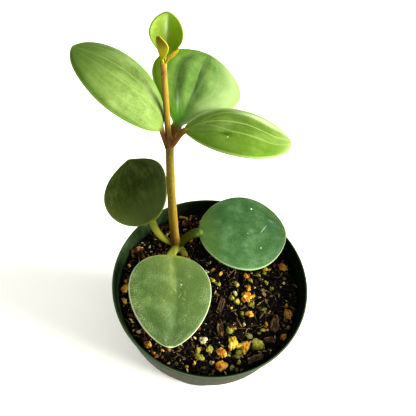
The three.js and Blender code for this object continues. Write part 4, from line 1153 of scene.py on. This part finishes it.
LEAF_LOOKS = {
    "lower_front": dict(
        name="sage", ramp=("#3a5027", "#455b2e", "#556a3b"), vein="#72804c", rim="#a9b390",
        rim_width=0.75, rim_share=0.9, under="#66784c", stalk=("#767935", "#767935"), lines=0.3, dust=1.0,
        dust_tone="#98a37e", scratches=0.5, roughness=0.68, shine=0.05, glow=0.15, freckled=0.7,
        # The dark stripe along the midrib fold is a painted shadow line
        tints=[("across", -0.45, 0.0, "#6b7740", 0.25), ("across", 0.1, 0.17, "#3f5428", 0.7),
               ("across", 0.3, 0.6, "#465c30", 0.6), ("along", 0.28, 0.0, "#5a6c30", 0.5),
               ("along", 0.55, 0.95, "#374f2b", 0.75)],
        spots=[(29.0, -2.0, 9.0, 5.0, 0, "#42644a", 0.45, 0.1),
               (7.0, -2.0, 8.5, 2.2, 0, "#7f8a4a", 0.5, 0.1),
               (14.8, 2.2, 0.4, 0.4, 0, "#d5dac4", 1.0, 0.4),
               (17.5, -0.6, 1.9, 0.16, 35, "#a3ae8c", 0.8, 0.3),
               (20.0, 1.6, 2.2, 0.16, -25, "#a3ae8c", 0.8, 0.3),
               (21.5, 3.6, 1.6, 0.15, 60, "#a3ae8c", 0.7, 0.3),
               (18.5, 3.9, 1.8, 0.15, 10, "#a3ae8c", 0.6, 0.3)]),
    "lower_right": dict(
        name="bluegreen", ramp=("#30522b", "#3a5b34", "#496b44"), vein="#4d6b42", rim="#859a6e",
        rim_share=0.85, under="#6a8050", stalk=("#4f510a", "#3f4a12"), lines=0.2, dust=0.6, scratches=0.2,
        roughness=0.66, shine=0.05, glow=0.15, streak=0.12, freckled=0.6,
        tints=[("along", 0.3, 0.05, "#4a6124", 0.7), ("along", 0.6, 0.95, "#2f4a2a", 0.8)],
        spots=[(27.0, 14.0, 0.6, 0.6, 0, "#dfe8dc", 1.0, 0.4),
               (29.2, -10.2, 0.45, 0.45, 0, "#cfdacb", 0.9, 0.4),
               (23.7, -1.1, 0.35, 0.35, 0, "#cfdacb", 0.9, 0.4),
               (35.0, 5.4, 4.4, 3.2, 0, "#28533c", 0.5, 0.2),
               (25.8, 0.4, 3.2, 2.8, 0, "#6f9470", 0.35, 0.0),
               (21.7, -7.8, 3.0, 2.4, 0, "#6f9470", 0.35, 0.0),
               (31.8, 1.8, 5.0, 0.26, 57, "#9db59e", 0.85, 0.3),
               (36.5, 9.6, 2.6, 0.18, 5, "#8ba58c", 0.8, 0.3),
               (36.0, 9.0, 2.4, 0.18, -50, "#8ba58c", 0.7, 0.3)]),
    "lower_left": dict(
        # This leaf is painted darker and more olive than the others: painted shade of a leaf turned away
        # from the window
        name="olive", ramp=("#1e2b08", "#2f3b0e", "#47521f"), vein="#353f18", rim="#56633a",
        rim_share=0.5, under="#4a5828", stalk=("#868931", "#7c8030"), dust=0.9, dust_tone="#6f784c",
        roughness=0.55, shine=0.05, glow=0.15, streak=0.5, tints=[("along", 0.55, 0.1, "#4c5a2c", 0.75)],
        spots=[(8.0, -5.0, 9.0, 1.3, 0, "#2e2c0a", 0.35, 0.1),
               (17.0, 3.0, 9.0, 1.2, 0, "#2e2c0a", 0.35, 0.1)]),
    "upper_left": dict(
        name="fresh_left", ramp=("#4d6328", "#61763c", "#778a52"), vein="#8b9d6a", rim="#65853a",
        under="#7f9a52", stalk=("#452a10", "#5a3a1c"), lines=0.35, roughness=0.6,
        # The darker tip, the darker band beside the groove and the dark lower margin are painted shade, and
        # the pale band at the right margin is painted light where that margin curls away from the window
        tints=[("along", 0.5, 0.95, "#47611e", 0.85), ("along", 0.3, 0.05, "#697c41", 0.5),
               ("across", -0.15, -0.5, "#4b6925", 0.3), ("across", -0.5, -0.95, "#86a556", 0.7),
               ("across", 0.84, 1.0, "#40611a", 0.7)]),
    "upper_back": dict(
        name="mid", ramp=("#425c26", "#516e34", "#678047"), vein="#7c9c5c", rim="#7c9a55",
        under="#6f8a4c", stalk=("#6f4b14", "#5d4a20"), lines=0.6, streak=0.3, roughness=0.65, shine=0.05,
        glow=0.15,
        # The pale right half is painted light, where the half turns towards the window
        tints=[("across", 0.35, 0.9, "#5c780c", 0.8), ("along", 0.32, 0.02, "#457a14", 0.8),
               ("across", -0.1, -0.8, "#8b9c6f", 0.6), ("across", -0.8, -1.0, "#5f7c40", 0.6)],
        # The two pale bluish streaks beside the folds are painted sheen
        spots=[(11.0, 6.5, 8.0, 1.6, 4, "#8aab80", 0.6, 0.1),
               (22.0, -2.2, 10.0, 1.5, -3, "#86a568", 0.5, 0.1)]),
    "upper_right": dict(
        name="fresh_right", ramp=("#476320", "#566f2a", "#6a8240"), vein="#a9c07c", rim="#869b66",
        under="#7f9a52", stalk=("#68461f", "#68461f"), lines=0.45, roughness=0.7, shine=0.04,
        # The pale band towards the upper margin is painted sheen
        tints=[("across", 0.5, 0.9, "#a9bd84", 0.75), ("across", -0.2, -0.8, "#547516", 0.4),
               ("along", 0.7, 1.0, "#7b8758", 0.7)],
        spots=[(13.3, -7.3, 3.4, 1.3, 0, "#33500f", 0.8, 0.3),
               (13.6, -8.6, 0.35, 0.35, 0, "#c3d69a", 1.0, 0.4),
               # A broad pale patch along the upper margin: painted sheen
               (28.0, 7.0, 14.0, 4.0, 0, "#b2c494", 0.85, 0.2)]),
    "young": dict(
        name="young", ramp=("#6c862a", "#7f973d", "#94aa5f"), vein="#a5c27c", rim="#5f7424",
        rim_width=0.5, under="#7f9a42", stalk=("#8c8a14", "#8c8a14"), lines=0.6, depth=0.4, coat=0.03,
        # The darker half is painted shade of the half folded away from the window
        tints=[("across", 0.02, -0.3, "#658702", 0.9)],
        # The pale streak along the middle is painted sheen
        spots=[(9.5, 0.3, 4.5, 0.9, 0, "#a9c89a", 0.8, 0.1),
               (1.0, 0.0, 3.0, 3.0, 0, "#b0b016", 0.7, 0.2)]),
    "tiny_left": dict(
        name="tiny_left", ramp=("#767203", "#858104", "#959114"), vein="#a09628", rim="#a89e30",
        under=None, rim_width=0.3, stalk=("#8c8a14", "#8c8a14"), depth=0.4, coat=0.03,
        tints=[("along", 0.5, 0.85, "#5c4e08", 0.85), ("along", 0.35, 0.05, "#6f7c0c", 0.7)]),
    "tiny_right": dict(
        name="tiny_right", ramp=("#6f5c10", "#7f6a12", "#94802a"), vein="#948a30", rim="#b0a040",
        under=None, rim_width=0.35, stalk=("#8c8a14", "#8c8a14"), depth=0.4, coat=0.03),
}
for leaf in LEAVES:
    settle(make_leaf(leaf), leaf.slot, "leaf_" + leaf.name, material=leaf_cuticle(**LEAF_LOOKS[leaf.name]))
